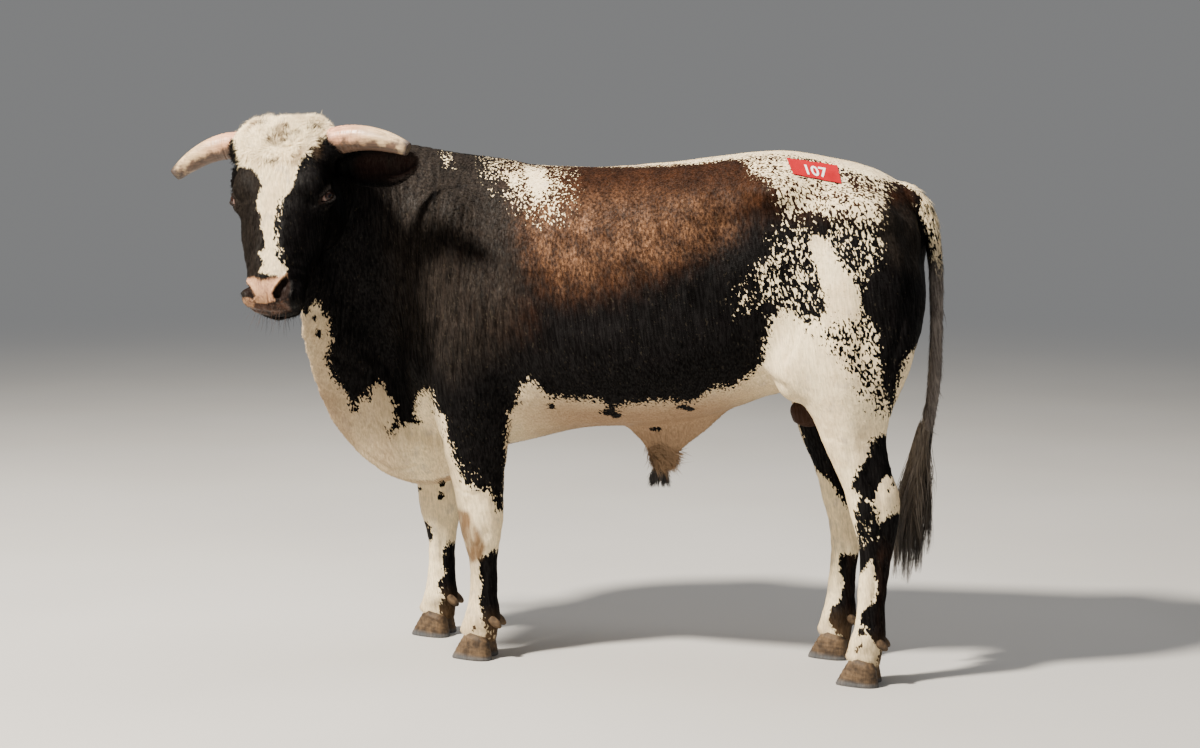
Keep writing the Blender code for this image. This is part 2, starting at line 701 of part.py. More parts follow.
def cut_mouth(head, guides):
    """The line of the mouth: a narrow groove round the muzzle's end."""
    outer = []
    inner = []
    for down, width in ((0.405, 0.078), (0.440, 0.076), (0.470, 0.073), (0.495, 0.060), (0.512, 0.041),
                        (0.520, 0.016)):
        inner.append((down - MOUTH_DEPTH * (0.2 if down < 0.48 else 0.8), max(0.004, width - MOUTH_DEPTH)))
        outer.append((down + 0.02 * (down > 0.48), width + 0.03))
    outline = outer + [(d, -w) for d, w in reversed(outer)] + [(d, -w) for d, w in inner] + inner[::-1]
    bm = bmesh.new()
    tilt = 0.16
    low = [bm.verts.new(head_point(w, d, MOUTH_OUT - (d - 0.46) * tilt - MOUTH_GROOVE / 2)) for d, w in outline]
    face = bm.faces.new(low)
    lifted = bmesh.ops.extrude_face_region(bm, geom=[face])["geom"]
    bmesh.ops.translate(bm, verts=[g for g in lifted if isinstance(g, bmesh.types.BMVert)],
                        vec=OUT * MOUTH_GROOVE)
    bmesh.ops.triangulate(bm, faces=bm.faces)
    cutter = as_cutter(mesh_object("mouth_line", bm, guides))
    boolean(head, "DIFFERENCE", cutter)
    discard(cutter)


def nostril_turn(sign):
    axes = head_axes()
    return axes @ Matrix.Rotation(math.radians(28 * sign), 3, "Z")


def finish_head(head, guides):
    for sign in (-1, 1):
        add_lids(head, sign, guides)
        centre, _, _, _ = eye_frame(sign)
        cut_ball(head, centre, (EYE_RADIUS + GAP,) * 3, Matrix.Identity(3), guides, 3)
        spot = head_point(sign * NOSTRIL_AT[0], NOSTRIL_AT[1], NOSTRIL_AT[2])
        cut_ball(head, spot, NOSTRIL_RADII, nostril_turn(sign), guides)
    cut_mouth(head, guides)
    keep_largest(head)


def tube(name, points, radii, group, sides=3):
    """A tapered tube with filled caps, as a closed mesh."""
    curve = bpy.data.curves.new(name, "CURVE")
    curve.dimensions = "3D"
    curve.bevel_depth = 1.0
    curve.bevel_resolution = sides
    curve.use_fill_caps = True
    line = curve.splines.new("POLY")
    line.points.add(len(points) - 1)
    for knot, point, radius in zip(line.points, points, radii):
        knot.co = (*point, 1.0)
        knot.radius = radius
    thing = bpy.data.objects.new(name + "_curve", curve)
    group.objects.link(thing)
    bpy.context.view_layer.update()
    mesh = bpy.data.meshes.new_from_object(thing.evaluated_get(bpy.context.evaluated_depsgraph_get()))
    bpy.data.objects.remove(thing, do_unlink=True)
    bm = bmesh.new()
    bm.from_mesh(mesh)
    bpy.data.meshes.remove(mesh)
    bmesh.ops.remove_doubles(bm, verts=bm.verts, dist=1e-5)
    bmesh.ops.triangulate(bm, faces=bm.faces)
    return mesh_object(name, bm, group)


def add_horn(side, group):
    """A blunt horn that leaves the head sideways and bends down a little."""
    sign = 1 if side == "left" else -1
    rows = []
    for i in range(9):
        t = i / 8
        sink = HORN_DROOP[side] * t ** 1.8 - HORN_BOW[side] * math.sin(math.pi * t)
        reach = HORN_ROOT[0] + HORN_REACH[side] * t
        rows.append(head_point(sign * reach, HORN_ROOT[1] + sink, HORN_ROOT[2] + 0.010 * math.sin(math.pi * t)))
    radii = np.interp(np.linspace(0, 1, 9), np.linspace(0, 1, len(HORN_RADIUS)), HORN_RADIUS)
    return tube("horn_" + side, rows, radii, group, 3)


def ear_axes(side):
    """Along the ear, across it toward its upper edge, and the way its cup opens."""
    sign = 1 if side == "left" else -1
    along = head_vector(sign * math.cos(EAR_BACK), EAR_DROOP[side], -math.sin(EAR_BACK))
    opens = head_vector(sign * 0.45, 0.42, 0.80)
    opens = (opens - along * opens.dot(along)).normalized()
    across = along.cross(opens) * sign
    return along, across, opens


def ear_spot(side, t, v):
    """A point of the ear's sheet: t from root to tip, v across from -1 to 1."""
    sign = 1 if side == "left" else -1
    along, across, opens = ear_axes(side)
    width = EAR_HALF_WIDTH * (0.42 + 0.58 * math.sin(math.pi * min(1.0, t * 1.15 + 0.02)) ** 0.8)
    width *= math.sqrt(max(0.0, 1 - max(0.0, (t - 0.62) / 0.385) ** 2)) if t > 0.62 else 1.0
    cup = EAR_CUP * (1 - 0.55 * t) * (width / EAR_HALF_WIDTH) ** 0.5
    root = head_point(sign * EAR_ROOT[0], EAR_ROOT[1], EAR_ROOT[2])
    return (root + along * EAR_LENGTH * t + across * width * v + opens * cup * (v * v - 0.45) +
            Vector((0, 0, -0.004)) * t * t)


def add_ear(side, head, group, guides):
    """A cupped leaf of even thickness on a short stem."""
    steps, halves = 8, 6
    bm = bmesh.new()
    grid = [[bm.verts.new(ear_spot(side, 0.04 + 0.955 * i / steps, 2 * j / halves - 1)) for j in range(halves + 1)]
            for i in range(steps + 1)]
    for i in range(steps):
        for j in range(halves):
            corners = (grid[i][j], grid[i][j + 1], grid[i + 1][j + 1], grid[i + 1][j])
            bm.faces.new((corners[0], corners[1], corners[2]))
            bm.faces.new((corners[0], corners[2], corners[3]))
    ear = mesh_object("ear_" + side, bm, group)
    thick = ear.modifiers.new("thick", "SOLIDIFY")
    thick.thickness = EAR_THICK
    thick.offset = 0.0
    apply_modifiers(ear)
    along, across, opens = ear_axes(side)
    bm = bmesh.new()
    ball(bm, ear_spot(side, 0.10, 0.0), (0.040, 0.021, 0.017), Matrix((along, across, opens)).transposed())
    stem = as_cutter(mesh_object("ear_stem", bm, guides))
    reduce = stem.modifiers.new("reduce", "DECIMATE")
    reduce.ratio = 0.25
    apply_modifiers(stem)
    boolean(ear, "UNION", stem)
    discard(stem)
    seat(ear, head, guides)
    return ear


def foot_place(kind, side):
    """The middle of a foot, on the floor."""
    z, front, back, y, _, _ = leg_rows(kind, side, 46)[-1]
    return Vector(((front + back) / 2, y, 0.0))


def coronet_prism(kind, side, grow, guides):
    """The space under the coronet's sloping plane."""
    foot = foot_place(kind, side)
    reach = 0.16
    outline = [(foot.x - reach, -0.05), (foot.x + reach, -0.05),
               (foot.x + reach, CORONET + CORONET_SLOPE * reach + grow),
               (foot.x - reach, CORONET - CORONET_SLOPE * reach + grow)]
    sign = -1 if side == "left" else 1
    return prism("coronet", ccw(outline), side_frame(sign), abs(foot.y) - 0.10, abs(foot.y) + 0.14, 0.0, guides)


def add_claws(kind, side, lower_leg, group, guides):
    """Two claws under the coronet, flat below, with the cleft between them."""
    foot = foot_place(kind, side)
    sign = -1 if side == "left" else 1
    wide = coronet_prism(kind, side, GAP, guides)
    boolean(lower_leg, "DIFFERENCE", wide)
    discard(wide)
    keep_largest(lower_leg)
    under = coronet_prism(kind, side, 0.0, guides)
    claws = []
    for where, turn in (("outer", 1), ("inner", -1)):
        middle = foot.y + sign * turn * (CLAW_WIDTH + CLAW_CLEFT) / 2
        splay = Matrix.Rotation(sign * turn * CLAW_SPLAY, 4, "Z")
        bm = bmesh.new()
        rings = []
        for z in (0.0, 0.004, 0.030, 0.060, 0.092):
            lean = TOE_LEAN * z
            front = -0.062 + lean
            back = front + CLAW_LENGTH - lean * 1.25 - (0.006 if z < 0.003 else 0.0)
            half = CLAW_WIDTH / 2 * (1 - 1.6 * z) * (0.95 if z < 0.003 else 1.0)
            centre = (front * 0.35 + back * 0.65)
            place = Matrix.Translation((foot.x, middle, 0)) @ splay
            points = ring(Vector((centre, 0, z)), Vector((0, half, 0)), Vector((back - centre, 0, 0)),
                          Vector((front - centre, 0, 0)), 2.3, 0.72, 12)
            rings.append([place @ p for p in points])
        loft(bm, rings)
        claw = mesh_object("claw_" + kind + "_" + side + "_" + where, bm, group)
        boolean(claw, "INTERSECT", under)
        trim_cleft(claw, foot.y, sign * turn, guides)
        keep_largest(claw)
        claws.append(claw)
    discard(under)
    return claws


def trim_cleft(claw, middle, sign, guides):
    """Keeps a claw on its own side of the cleft."""
    bm = bmesh.new()
    bmesh.ops.create_cube(bm, size=1.0, matrix=Matrix.Translation((claw.bound_box[0][0], middle -
                          sign * (0.25 - CLAW_CLEFT / 2), 0)) @ Matrix.Diagonal((1.0, 0.5, 0.6, 1.0)))
    cutter = as_cutter(mesh_object("cleft", bm, guides))
    boolean(claw, "DIFFERENCE", cutter)
    discard(cutter)


def add_dewclaws(kind, side, lower_leg, group, guides):
    """Two short horny studs behind the fetlock."""
    rows = leg_rows(kind, side, 46)
    row = min(rows, key=lambda r: abs(r[0] - (0.100 if kind == "fore" else 0.104)))
    _, front, back, y, half, _ = row
    studs = []
    for where, turn in (("outer", 1), ("inner", -1)):
        sign = (-1 if side == "left" else 1) * turn
        root = Vector((back - 0.022, y + sign * 0.020, row[0] + 0.006))
        tip = root + Vector((0.030, sign * 0.006, -0.024))
        path = [root.lerp(tip, t) for t in (0.0, 0.45, 0.8, 1.0)]
        stud = tube("dewclaw_" + kind + "_" + side + "_" + where, path, (0.014, 0.0135, 0.010, 0.005), group, 1)
        seat(stud, lower_leg, guides)
        studs.append(stud)
    return studs


def add_scrotum(torso, group, guides):
    bm = bmesh.new()
    rings = []
    for z, x, length, half in ((0.800, 0.490, 0.034, 0.030), (0.765, 0.484, 0.036, 0.032), (0.730, 0.478, 0.046, 0.040),
                               (0.695, 0.474, 0.050, 0.044), (0.668, 0.472, 0.040, 0.036), (0.653, 0.472, 0.018, 0.018)):
        rings.append(ring(Vector((x, 0, z)), Vector((0, half, 0)), Vector((length, 0, 0)),
                          Vector((-length, 0, 0)), count=16))
    loft(bm, rings)
    sac = mesh_object("scrotum", bm, group)
    seat(sac, torso, guides)
    return sac


def add_tail(torso, group, guides):
    rows = spline(TAIL, 18)
    tail = tube("tail", [row[:3] for row in rows], rows[:, 3], group, 2)
    seat(tail, torso, guides)
    return tail


def lock(name, path, across, width, thickness, group):
    """A flat, tapered lock of hair along a path: broad near its root, closing to a point."""
    bm = bmesh.new()
    rings = []
    last = len(path) - 1
    for i, point in enumerate(path):
        along = (path[min(i + 1, last)] - path[max(i - 1, 0)]).normalized()
        side = (across - along * across.dot(along)).normalized()
        share = LOCK_PROFILE[i] / 2
        rings.append(ring(point, side * width * share, along.cross(side) * thickness * share,
                          along.cross(side) * -thickness * share, count=4))
    loft(bm, rings)
    return mesh_object(name, bm, group)


def fuse_locks(core, locks):
    """Joins the locks to their core in one union and drops them."""
    bunch = new_collection(core.name + "_locks")
    for piece in locks:
        bunch.objects.link(piece)
    step = core.modifiers.new("fuse_locks", "BOOLEAN")
    step.operation = "UNION"
    step.operand_type = "COLLECTION"
    step.collection = bunch
    step.solver = "MANIFOLD"
    apply_modifiers(core)
    for piece in locks:
        discard(piece)
    bpy.data.collections.remove(bunch)
    keep_largest(core)


def brush_axis(z):
    """Where the middle of the tail's brush is at a height."""
    heights, places = zip(*BRUSH_AXIS)
    return Vector((float(np.interp(z, heights, places)), 0.0, z))


def add_switch(tail, group, guides):
    """The brush of the tail: a short core and locks that hang past it, the outer ones over the inner ones."""
    draw = random.Random(BRUSH_SEED)
    bm = bmesh.new()
    loft(bm, [ring(brush_axis(z), Vector((0, half, 0)), Vector((half * 1.15, 0, 0)),
                   Vector((-half * 1.15, 0, 0)), count=10) for z, half in BRUSH_CORE])
    switch = mesh_object("tail_switch", bm, group)
    heights, halves = zip(*BRUSH_CORE[::-1])
    locks = []
    for i in range(BRUSH_LOCKS):
        share = i / (BRUSH_LOCKS - 1)
        top = BRUSH_TOP + (BRUSH_LOW - BRUSH_TOP) * share
        tip = draw.uniform(*BRUSH_TIPS) - 0.02 * share
        angle = i * GOLDEN_ANGLE + draw.uniform(-0.2, 0.2)
        twist = draw.uniform(-0.5, 0.5)
        spread = draw.uniform(*BRUSH_SPREAD)
        root_reach = float(np.interp(top, heights, halves)) - 0.006
        path = []
        for step in range(len(LOCK_PROFILE)):
            t = step / (len(LOCK_PROFILE) - 1)
            turn = angle + twist * t
            reach = root_reach + (spread - root_reach) * t + BRUSH_BULGE * math.sin(math.pi * t)
            out = Vector((math.cos(turn) * 1.15, math.sin(turn), 0))
            path.append(brush_axis(top + (tip - top) * t) + out * reach)
        across = Vector((-math.sin(angle), math.cos(angle), 0))
        locks.append(lock("lock", path, across, draw.uniform(*BRUSH_LOCK_WIDTH), LOCK_THICK, guides))
    fuse_locks(switch, locks)
    seat(switch, tail, guides)
    return switch


def add_sheath_tuft(torso, group, guides):
    """The tuft at the sheath's end: locks that hang from a small core."""
    draw = random.Random(TUFT_SEED)
    bm = bmesh.new()
    loft(bm, [ring(Vector((TUFT_X, 0, z)), Vector((0, half * 0.85, 0)), Vector((half, 0, 0)),
                   Vector((-half, 0, 0)), count=10) for z, half in TUFT_CORE])
    tuft = mesh_object("sheath_tuft", bm, group)
    locks = []
    for i in range(TUFT_LOCKS):
        angle = i * GOLDEN_ANGLE
        share = math.sqrt((i + 0.5) / TUFT_LOCKS)
        out = Vector((math.cos(angle), 0.85 * math.sin(angle), 0))
        length = draw.uniform(*TUFT_LENGTH)
        bend = draw.uniform(-0.006, 0.006)
        path = []
        for step in range(len(LOCK_PROFILE)):
            t = step / (len(LOCK_PROFILE) - 1)
            reach = 0.011 * share + TUFT_SPREAD * share * t ** 1.3
            path.append(Vector((TUFT_X + bend * math.sin(2.5 * t), 0, TUFT_TOP - length * t)) + out * reach)
        across = Vector((-math.sin(angle), math.cos(angle), 0))
        locks.append(lock("lock", path, across, draw.uniform(*TUFT_LOCK_WIDTH), LOCK_THICK, guides))
    fuse_locks(tuft, locks)
    seat(tuft, torso, guides)
    return tuft


def add_tag(torso, group, guides):
    """A paper tag that lies on the rump, bent to its surface."""
    tag = grown(torso, 0.0020, group)
    tag.name = "rump_tag"
    tag.hide_render = False
    tag.display_type = "TEXTURED"
    under = grown(torso, SEAT, guides)
    frame = Matrix.Rotation(math.radians(14), 4, "Y")
    frame.translation = Vector(TAG_CENTRE)
    length, width = TAG_SIZE
    outline = [(-length / 2, -width / 2), (length / 2, -width / 2), (length / 2, width / 2), (-length / 2, width / 2)]
    window = prism("tag_window", outline, frame, -0.08, 0.08, 0.0, guides)
    boolean(tag, "INTERSECT", window)
    boolean(tag, "DIFFERENCE", under)
    discard(window)
    discard(under)
    keep_largest(tag)
    return tag


def set_origin(pieces):
    """Moves everything so that the origin lies under the middle of the whole box."""
    lows = []
    highs = []
    for piece in pieces:
        places = np.empty(len(piece.data.vertices) * 3)
        piece.data.vertices.foreach_get("co", places)
        places = places.reshape(-1, 3)
        lows.append(places.min(axis=0))
        highs.append(places.max(axis=0))
    low = np.min(lows, axis=0)
    high = np.max(highs, axis=0)
    shift = Matrix.Translation((-(low[0] + high[0]) / 2, -(low[1] + high[1]) / 2, -low[2]))
    for piece in pieces:
        piece.data.transform(shift)


def main():
    clear_scene()
    group = new_collection("domestic_bull")
    guides = new_collection("guides")
    parts = part_flesh(build_flesh(group), group, guides)
    head = parts["head"]
    torso = parts["torso"]
    finish_head(head, guides)

    hide = principled("hide", HIDE_DARK, 0.6)
    pale = principled("pale_hide", HIDE_WHITE, 0.65)
    horn = principled("horn", HORN_COLOUR, 0.45)
    hoof = principled("hoof", HOOF_COLOUR, 0.55)
    hair = principled("hair", HAIR_COLOUR, 0.8)
    eye = principled("eye", EYE_COLOUR, 0.08)
    paper = principled("tag", TAG_COLOUR, 0.5)

    dressed = {name: (part, pale if "foot" in name else hide) for name, part in parts.items()}
    for side, sign in (("left", 1), ("right", -1)):
        dressed["eye_" + side] = (add_eye("eye_" + side, sign, group), eye)
        piece = add_horn(side, group)
        seat(piece, head, guides)
        dressed["horn_" + side] = (piece, horn)
        dressed["ear_" + side] = (add_ear(side, head, group, guides), hide)
        for kind in ("fore", "hind"):
            lower = parts[kind + "foot_" + side]
            for claw in add_claws(kind, side, lower, group, guides):
                dressed[claw.name] = (claw, hoof)
            for stud in add_dewclaws(kind, side, lower, group, guides):
                dressed[stud.name] = (stud, hoof)
    tail = add_tail(torso, group, guides)
    dressed["tail"] = (tail, hide)
    dressed["tail_switch"] = (add_switch(tail, group, guides), hair)
    dressed["sheath_tuft"] = (add_sheath_tuft(torso, group, guides), hair)
    dressed["scrotum"] = (add_scrotum(torso, group, guides), hide)
    dressed["rump_tag"] = (add_tag(torso, group, guides), paper)

    for piece, material in dressed.values():
        piece.data.materials.clear()
        piece.data.materials.append(material)
        piece.data.shade_smooth()
        piece.data.set_sharp_from_angle(angle=math.radians(45))
    set_origin([piece for piece, _ in dressed.values()])


main()
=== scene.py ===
"""A domestic bull as a still museum model: its skin, coat, horns, hooves and eyes, and the studio round it.

Metres, +Z up. The bull faces -X and its left side is toward -Y, where the camera stands.
Places are written in the modelling frame, where X = 0 lies midway between the fore and hind feet.
The frame's left eye gives the shift from there to the frame's own origin.
"""
import math
from contextlib import contextmanager
from typing import NamedTuple

import bmesh
import bpy
import numpy as np
from mathutils import Matrix, Vector
from mathutils.bvhtree import BVHTree


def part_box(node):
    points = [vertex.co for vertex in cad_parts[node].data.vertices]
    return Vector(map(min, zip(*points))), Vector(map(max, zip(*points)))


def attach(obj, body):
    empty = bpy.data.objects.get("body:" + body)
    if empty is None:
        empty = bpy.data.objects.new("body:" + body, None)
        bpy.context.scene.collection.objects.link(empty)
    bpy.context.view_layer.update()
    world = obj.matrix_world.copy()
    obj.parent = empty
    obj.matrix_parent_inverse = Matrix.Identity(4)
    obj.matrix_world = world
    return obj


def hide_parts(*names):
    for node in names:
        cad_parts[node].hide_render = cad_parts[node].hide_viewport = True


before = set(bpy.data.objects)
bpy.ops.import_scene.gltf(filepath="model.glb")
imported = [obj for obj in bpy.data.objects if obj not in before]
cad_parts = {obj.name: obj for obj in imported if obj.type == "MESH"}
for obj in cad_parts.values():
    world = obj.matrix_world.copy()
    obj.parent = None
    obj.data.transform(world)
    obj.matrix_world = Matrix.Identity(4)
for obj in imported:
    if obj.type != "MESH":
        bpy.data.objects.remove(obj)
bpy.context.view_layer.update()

# The photograph's view: focal length in its pixels, and the camera in the modelling frame
PHOTO_WIDTH = 1200
PHOTO_HEIGHT = 748
FOCAL_PIXELS = 2500.0
CAMERA_YAW = math.radians(14.0)
CAMERA_PITCH = math.radians(7.23)
CAMERA_HEIGHT = 1.64
CAMERA_AIM_X = -0.103
CAMERA_DISTANCE = 6.79
PIXEL = 0.0027                         # what one pixel of the photograph covers on the bull

# The head's own frame: sideways to its left, down the face, and out of it
POLL = np.array((-0.856, -0.425, 1.482))
HEADING = math.radians(87.5)
FACE_PITCH = math.radians(67.0)
HEAD_ROLL = math.radians(3.0)
EYE_AT = (0.123, 0.203, -0.056)
EYE_RADIUS = 0.0195
EYE_LOOKS = (0.86, 0.04, 0.50)
IRIS_REACH = 0.0160                    # where the eye's own measures reach 1
SIDES = (("left", 1), ("right", -1))   # each side's name, and its sign in the head's own frame
MIRROR = np.array((1, -1, 1))

SKIN_CELL = 0.0075                     # size of the cells in which the flesh is fused
COAT_DEPTH = 0.0022                    # how far the skin lies inside the solids
SEED = 4


def unit(v):
    return v / np.linalg.norm(v, axis=-1, keepdims=True)


FORWARD = np.array((-math.cos(HEADING), -math.sin(HEADING), 0.0))
UP = np.array((0.0, 0.0, 1.0))
LEVEL_SIDE = np.array((-FORWARD[1], FORWARD[0], 0.0))
LEVEL_DOWN = FORWARD * math.cos(FACE_PITCH) - UP * math.sin(FACE_PITCH)
SIDE = LEVEL_SIDE * math.cos(HEAD_ROLL) - LEVEL_DOWN * math.sin(HEAD_ROLL)
DOWN = LEVEL_DOWN * math.cos(HEAD_ROLL) + LEVEL_SIDE * math.sin(HEAD_ROLL)
OUT = FORWARD * math.sin(FACE_PITCH) + UP * math.cos(FACE_PITCH)


def head_point(side, down, out):
    return POLL + SIDE * side + DOWN * down + OUT * out


def head_vector(side, down, out):
    return unit(SIDE * side + DOWN * down + OUT * out)


def twin_point(sign, at):
    """A place on the head's left side for a sign of 1, and its twin on the right for -1."""
    return head_point(sign * at[0], at[1], at[2])


EYE_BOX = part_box("eye_left")
SHIFT = (np.array(EYE_BOX[0]) + np.array(EYE_BOX[1])) / 2 - head_point(*EYE_AT)

VIEW_FORWARD = np.array((-math.sin(CAMERA_YAW) * math.cos(CAMERA_PITCH),
                         math.cos(CAMERA_YAW) * math.cos(CAMERA_PITCH), -math.sin(CAMERA_PITCH)))
VIEW_RIGHT = np.array((math.cos(CAMERA_YAW), math.sin(CAMERA_YAW), 0.0))
VIEW_UP = np.cross(VIEW_RIGHT, VIEW_FORWARD)
VIEW_FROM = np.array((CAMERA_AIM_X + CAMERA_DISTANCE * math.sin(CAMERA_YAW),
                      -CAMERA_DISTANCE * math.cos(CAMERA_YAW), CAMERA_HEIGHT))


def pixels(places):
    """Where points of the modelling frame lie in the photograph."""
    ray = places - VIEW_FROM
    scale = FOCAL_PIXELS / (ray @ VIEW_FORWARD)
    return np.stack((PHOTO_WIDTH / 2 + scale * (ray @ VIEW_RIGHT),
                     PHOTO_HEIGHT / 2 - scale * (ray @ VIEW_UP)), axis=1)


def rise(value, low, high):
    """Zero below low, one above high, and smooth between them."""
    t = np.clip((value - low) / (high - low), 0.0, 1.0)
    return t * t * (3 - 2 * t)


def hump(distance, width):
    return np.exp(-(distance / width) ** 2)


def ripple(places, period, seed):
    """A soft, even noise between about -1 and 1, as a sum of tilted waves."""
    draw = np.random.default_rng(seed)
    total = np.zeros(len(places))
    for _ in range(7):
        way = unit(draw.normal(size=3))
        pace = 2 * math.pi / period * draw.uniform(0.7, 1.4)
        total += np.sin(places @ way * pace + draw.uniform(0, 6.3))
    return total / 4.0


def signed_distance(points, outline):
    """Distance from a closed outline, positive inside."""
    best = np.full(len(points), 1e9)
    inside = np.zeros(len(points), dtype=bool)
    x, y = points.T
    for (x0, y0), (x1, y1) in zip(outline, outline[1:] + outline[:1]):
        ex, ey = x1 - x0, y1 - y0
        t = np.clip(((x - x0) * ex + (y - y0) * ey) / (ex * ex + ey * ey), 0.0, 1.0)
        best = np.minimum(best, (x - x0 - t * ex) ** 2 + (y - y0 - t * ey) ** 2)
        if y0 != y1:
            inside ^= ((y0 > y) != (y1 > y)) & (x < (y - y0) * ex / ey + x0)
    return np.where(inside, 1.0, -1.0) * np.sqrt(best)


def line_distance(points, line):
    """Distance from an open line of points."""
    best = np.full(len(points), 1e9)
    x, y = points.T
    for (x0, y0), (x1, y1) in zip(line, line[1:]):
        ex, ey = x1 - x0, y1 - y0
        t = np.clip(((x - x0) * ex + (y - y0) * ey) / (ex * ex + ey * ey), 0.0, 1.0)
        best = np.minimum(best, (x - x0 - t * ex) ** 2 + (y - y0 - t * ey) ** 2)
    return np.sqrt(best)


# Meshes as arrays

def read_places(mesh, what="co"):
    values = np.empty(len(mesh.vertices) * 3)
    mesh.vertices.foreach_get(what, values)
    return values.reshape(-1, 3)


def write_places(mesh, places):
    mesh.vertices.foreach_set("co", places.ravel())
    mesh.update()


def edge_ends(mesh):
    ends = np.empty(len(mesh.edges) * 2, dtype=np.int64)
    mesh.edges.foreach_get("vertices", ends)
    return ends.reshape(-1, 2).T


def relax(places, ends, weight, rounds, shrink=0.5, swell=-0.53):
    """Smooths by steps in and out, so that nothing shrinks."""
    a, b = ends
    count = len(places)
    degree = np.maximum(np.bincount(a, minlength=count) + np.bincount(b, minlength=count), 1)
    weight = np.broadcast_to(weight, count)[:, None]
    for step in range(rounds * 2):
        mean = np.empty_like(places)
        for axis in range(3):
            column = places[:, axis]
            mean[:, axis] = (np.bincount(a, column[b], count) + np.bincount(b, column[a], count)) / degree
        places = places + (mean - places) * (shrink if step % 2 == 0 else swell) * weight
    return places


@contextmanager
def editing(mesh):
    """Opens a mesh for bmesh, and writes it back."""
    bm = bmesh.new()
    bm.from_mesh(mesh)
    yield bm
    bm.to_mesh(mesh)
    bm.free()


def add_object(name, data):
    thing = bpy.data.objects.new(name, data)
    bpy.context.scene.collection.objects.link(thing)
    return thing


def mesh_from(name, places, faces):
    """A new object from vertex places in the modelling frame and a list of arrays of faces."""
    mesh = bpy.data.meshes.new(name)
    mesh.vertices.add(len(places))
    mesh.vertices.foreach_set("co", (np.asarray(places) + SHIFT).ravel())
    loops = np.concatenate([group.ravel() for group in faces])
    sizes = np.concatenate([np.full(len(group), group.shape[1]) for group in faces])
    mesh.loops.add(len(loops))
    mesh.loops.foreach_set("vertex_index", loops)
    mesh.polygons.add(len(sizes))
    mesh.polygons.foreach_set("loop_start", np.concatenate(([0], np.cumsum(sizes)[:-1])))
    mesh.update(calc_edges=True)
    mesh.shade_smooth()
    return add_object(name, mesh)


def grid_faces(rows, columns, closed=False):
    """Quads between rows of points; closed joins the last column to the first."""
    r = np.arange(rows - 1)[:, None]
    c = np.arange(columns if closed else columns - 1)[None, :]
    n = (c + 1) % columns
    return np.stack((r * columns + c, r * columns + n, (r + 1) * columns + n, (r + 1) * columns + c),
                    axis=-1).reshape(-1, 4)


def tube_faces(rows, columns):
    """A closed grid with triangles at both ends, round two points that follow the grid's own."""
    c = np.arange(columns)
    n = (c + 1) % columns
    last = (rows - 1) * columns
    return [grid_faces(rows, columns, closed=True),
            np.stack((c, n, np.full(columns, rows * columns)), axis=1),
            np.stack((last + c, last + n, np.full(columns, rows * columns + 1)), axis=1)]


def slab_faces(rows, columns):
    """A thin slab: a grid, the same grid under it, and the rim between them."""
    quads = grid_faces(rows, columns)
    count = rows * columns
    r, c = np.arange(rows - 1), np.arange(columns - 1)
    edges = [(r * columns + column, (r + 1) * columns + column) for column in (0, columns - 1)]
    edges += [(row * columns + c, row * columns + c + 1) for row in (0, rows - 1)]
    return [quads, quads + count] + [np.stack((a, b, b + count, a + count), axis=1) for a, b in edges]


def face_outward(thing):
    with editing(thing.data) as bm:
        bmesh.ops.recalc_face_normals(bm, faces=bm.faces)
    thing.data.update()


def add_value(mesh, name, values):
    layer = mesh.attributes.new(name, "FLOAT", "POINT")
    layer.data.foreach_set("value", np.asarray(values, dtype=np.float32))


def apply_modifiers(thing):
    bpy.context.view_layer.update()
    evaluated = thing.evaluated_get(bpy.context.evaluated_depsgraph_get())
    mesh = bpy.data.meshes.new_from_object(evaluated)
    old = thing.data
    thing.modifiers.clear()
    thing.data = mesh
    bpy.data.meshes.remove(old)


def keep_largest(thing):
    """Drops loose scraps and hollows inside the mesh."""
    mesh = thing.data
    a, b = edge_ends(mesh)
    label = np.arange(len(mesh.vertices))
    while True:
        low = np.minimum(label[a], label[b])
        fresh = label.copy()
        np.minimum.at(fresh, a, low)
        np.minimum.at(fresh, b, low)
        fresh = fresh[fresh]
        if np.array_equal(fresh, label):
            break
        label = fresh
    main = np.bincount(label).argmax()
    if (label == main).all():
        return
    with editing(mesh) as bm:
        bmesh.ops.delete(bm, geom=[v for v, l in zip(bm.verts, label) if l != main], context="VERTS")


# The skin: the flesh of the frame, fused without its cuts

FLESH = ["torso", "neck", "head", "tail", "scrotum"] + [
    part + side for side in ("_left", "_right") for part in ("forearm", "forefoot", "gaskin", "hindfoot")]

# The ears, with the right one laid farther back than in the solids
EAR_ROOT = (0.124, 0.108, -0.100)
EAR_LENGTH = 0.235
EAR_HALF_WIDTH = 0.053
# How wide the ear is along its length, in half widths
EAR_PROFILE = ((0.0, 0.12, 0.28, 0.50, 0.72, 1.0), (0.40, 0.60, 0.90, 1.08, 1.06, 0.84))
EAR_BACK = {"left": math.radians(42.0), "right": math.radians(64.0)}
EAR_DROOP = {"left": -0.29, "right": 0.10}
EAR_CUP = 0.030
EAR_OPENS = (0.45, 0.42, 0.80)


def ear_axes(side):
    """Along the ear, across it toward its upper edge, and the way its cup opens."""
    sign = dict(SIDES)[side]
    along = head_vector(sign * math.cos(EAR_BACK[side]), EAR_DROOP[side], -math.sin(EAR_BACK[side]))
    opens = head_vector(sign * EAR_OPENS[0], EAR_OPENS[1], EAR_OPENS[2])
    opens = unit(opens - along * (opens @ along))
    return along, np.cross(along, opens) * sign, opens


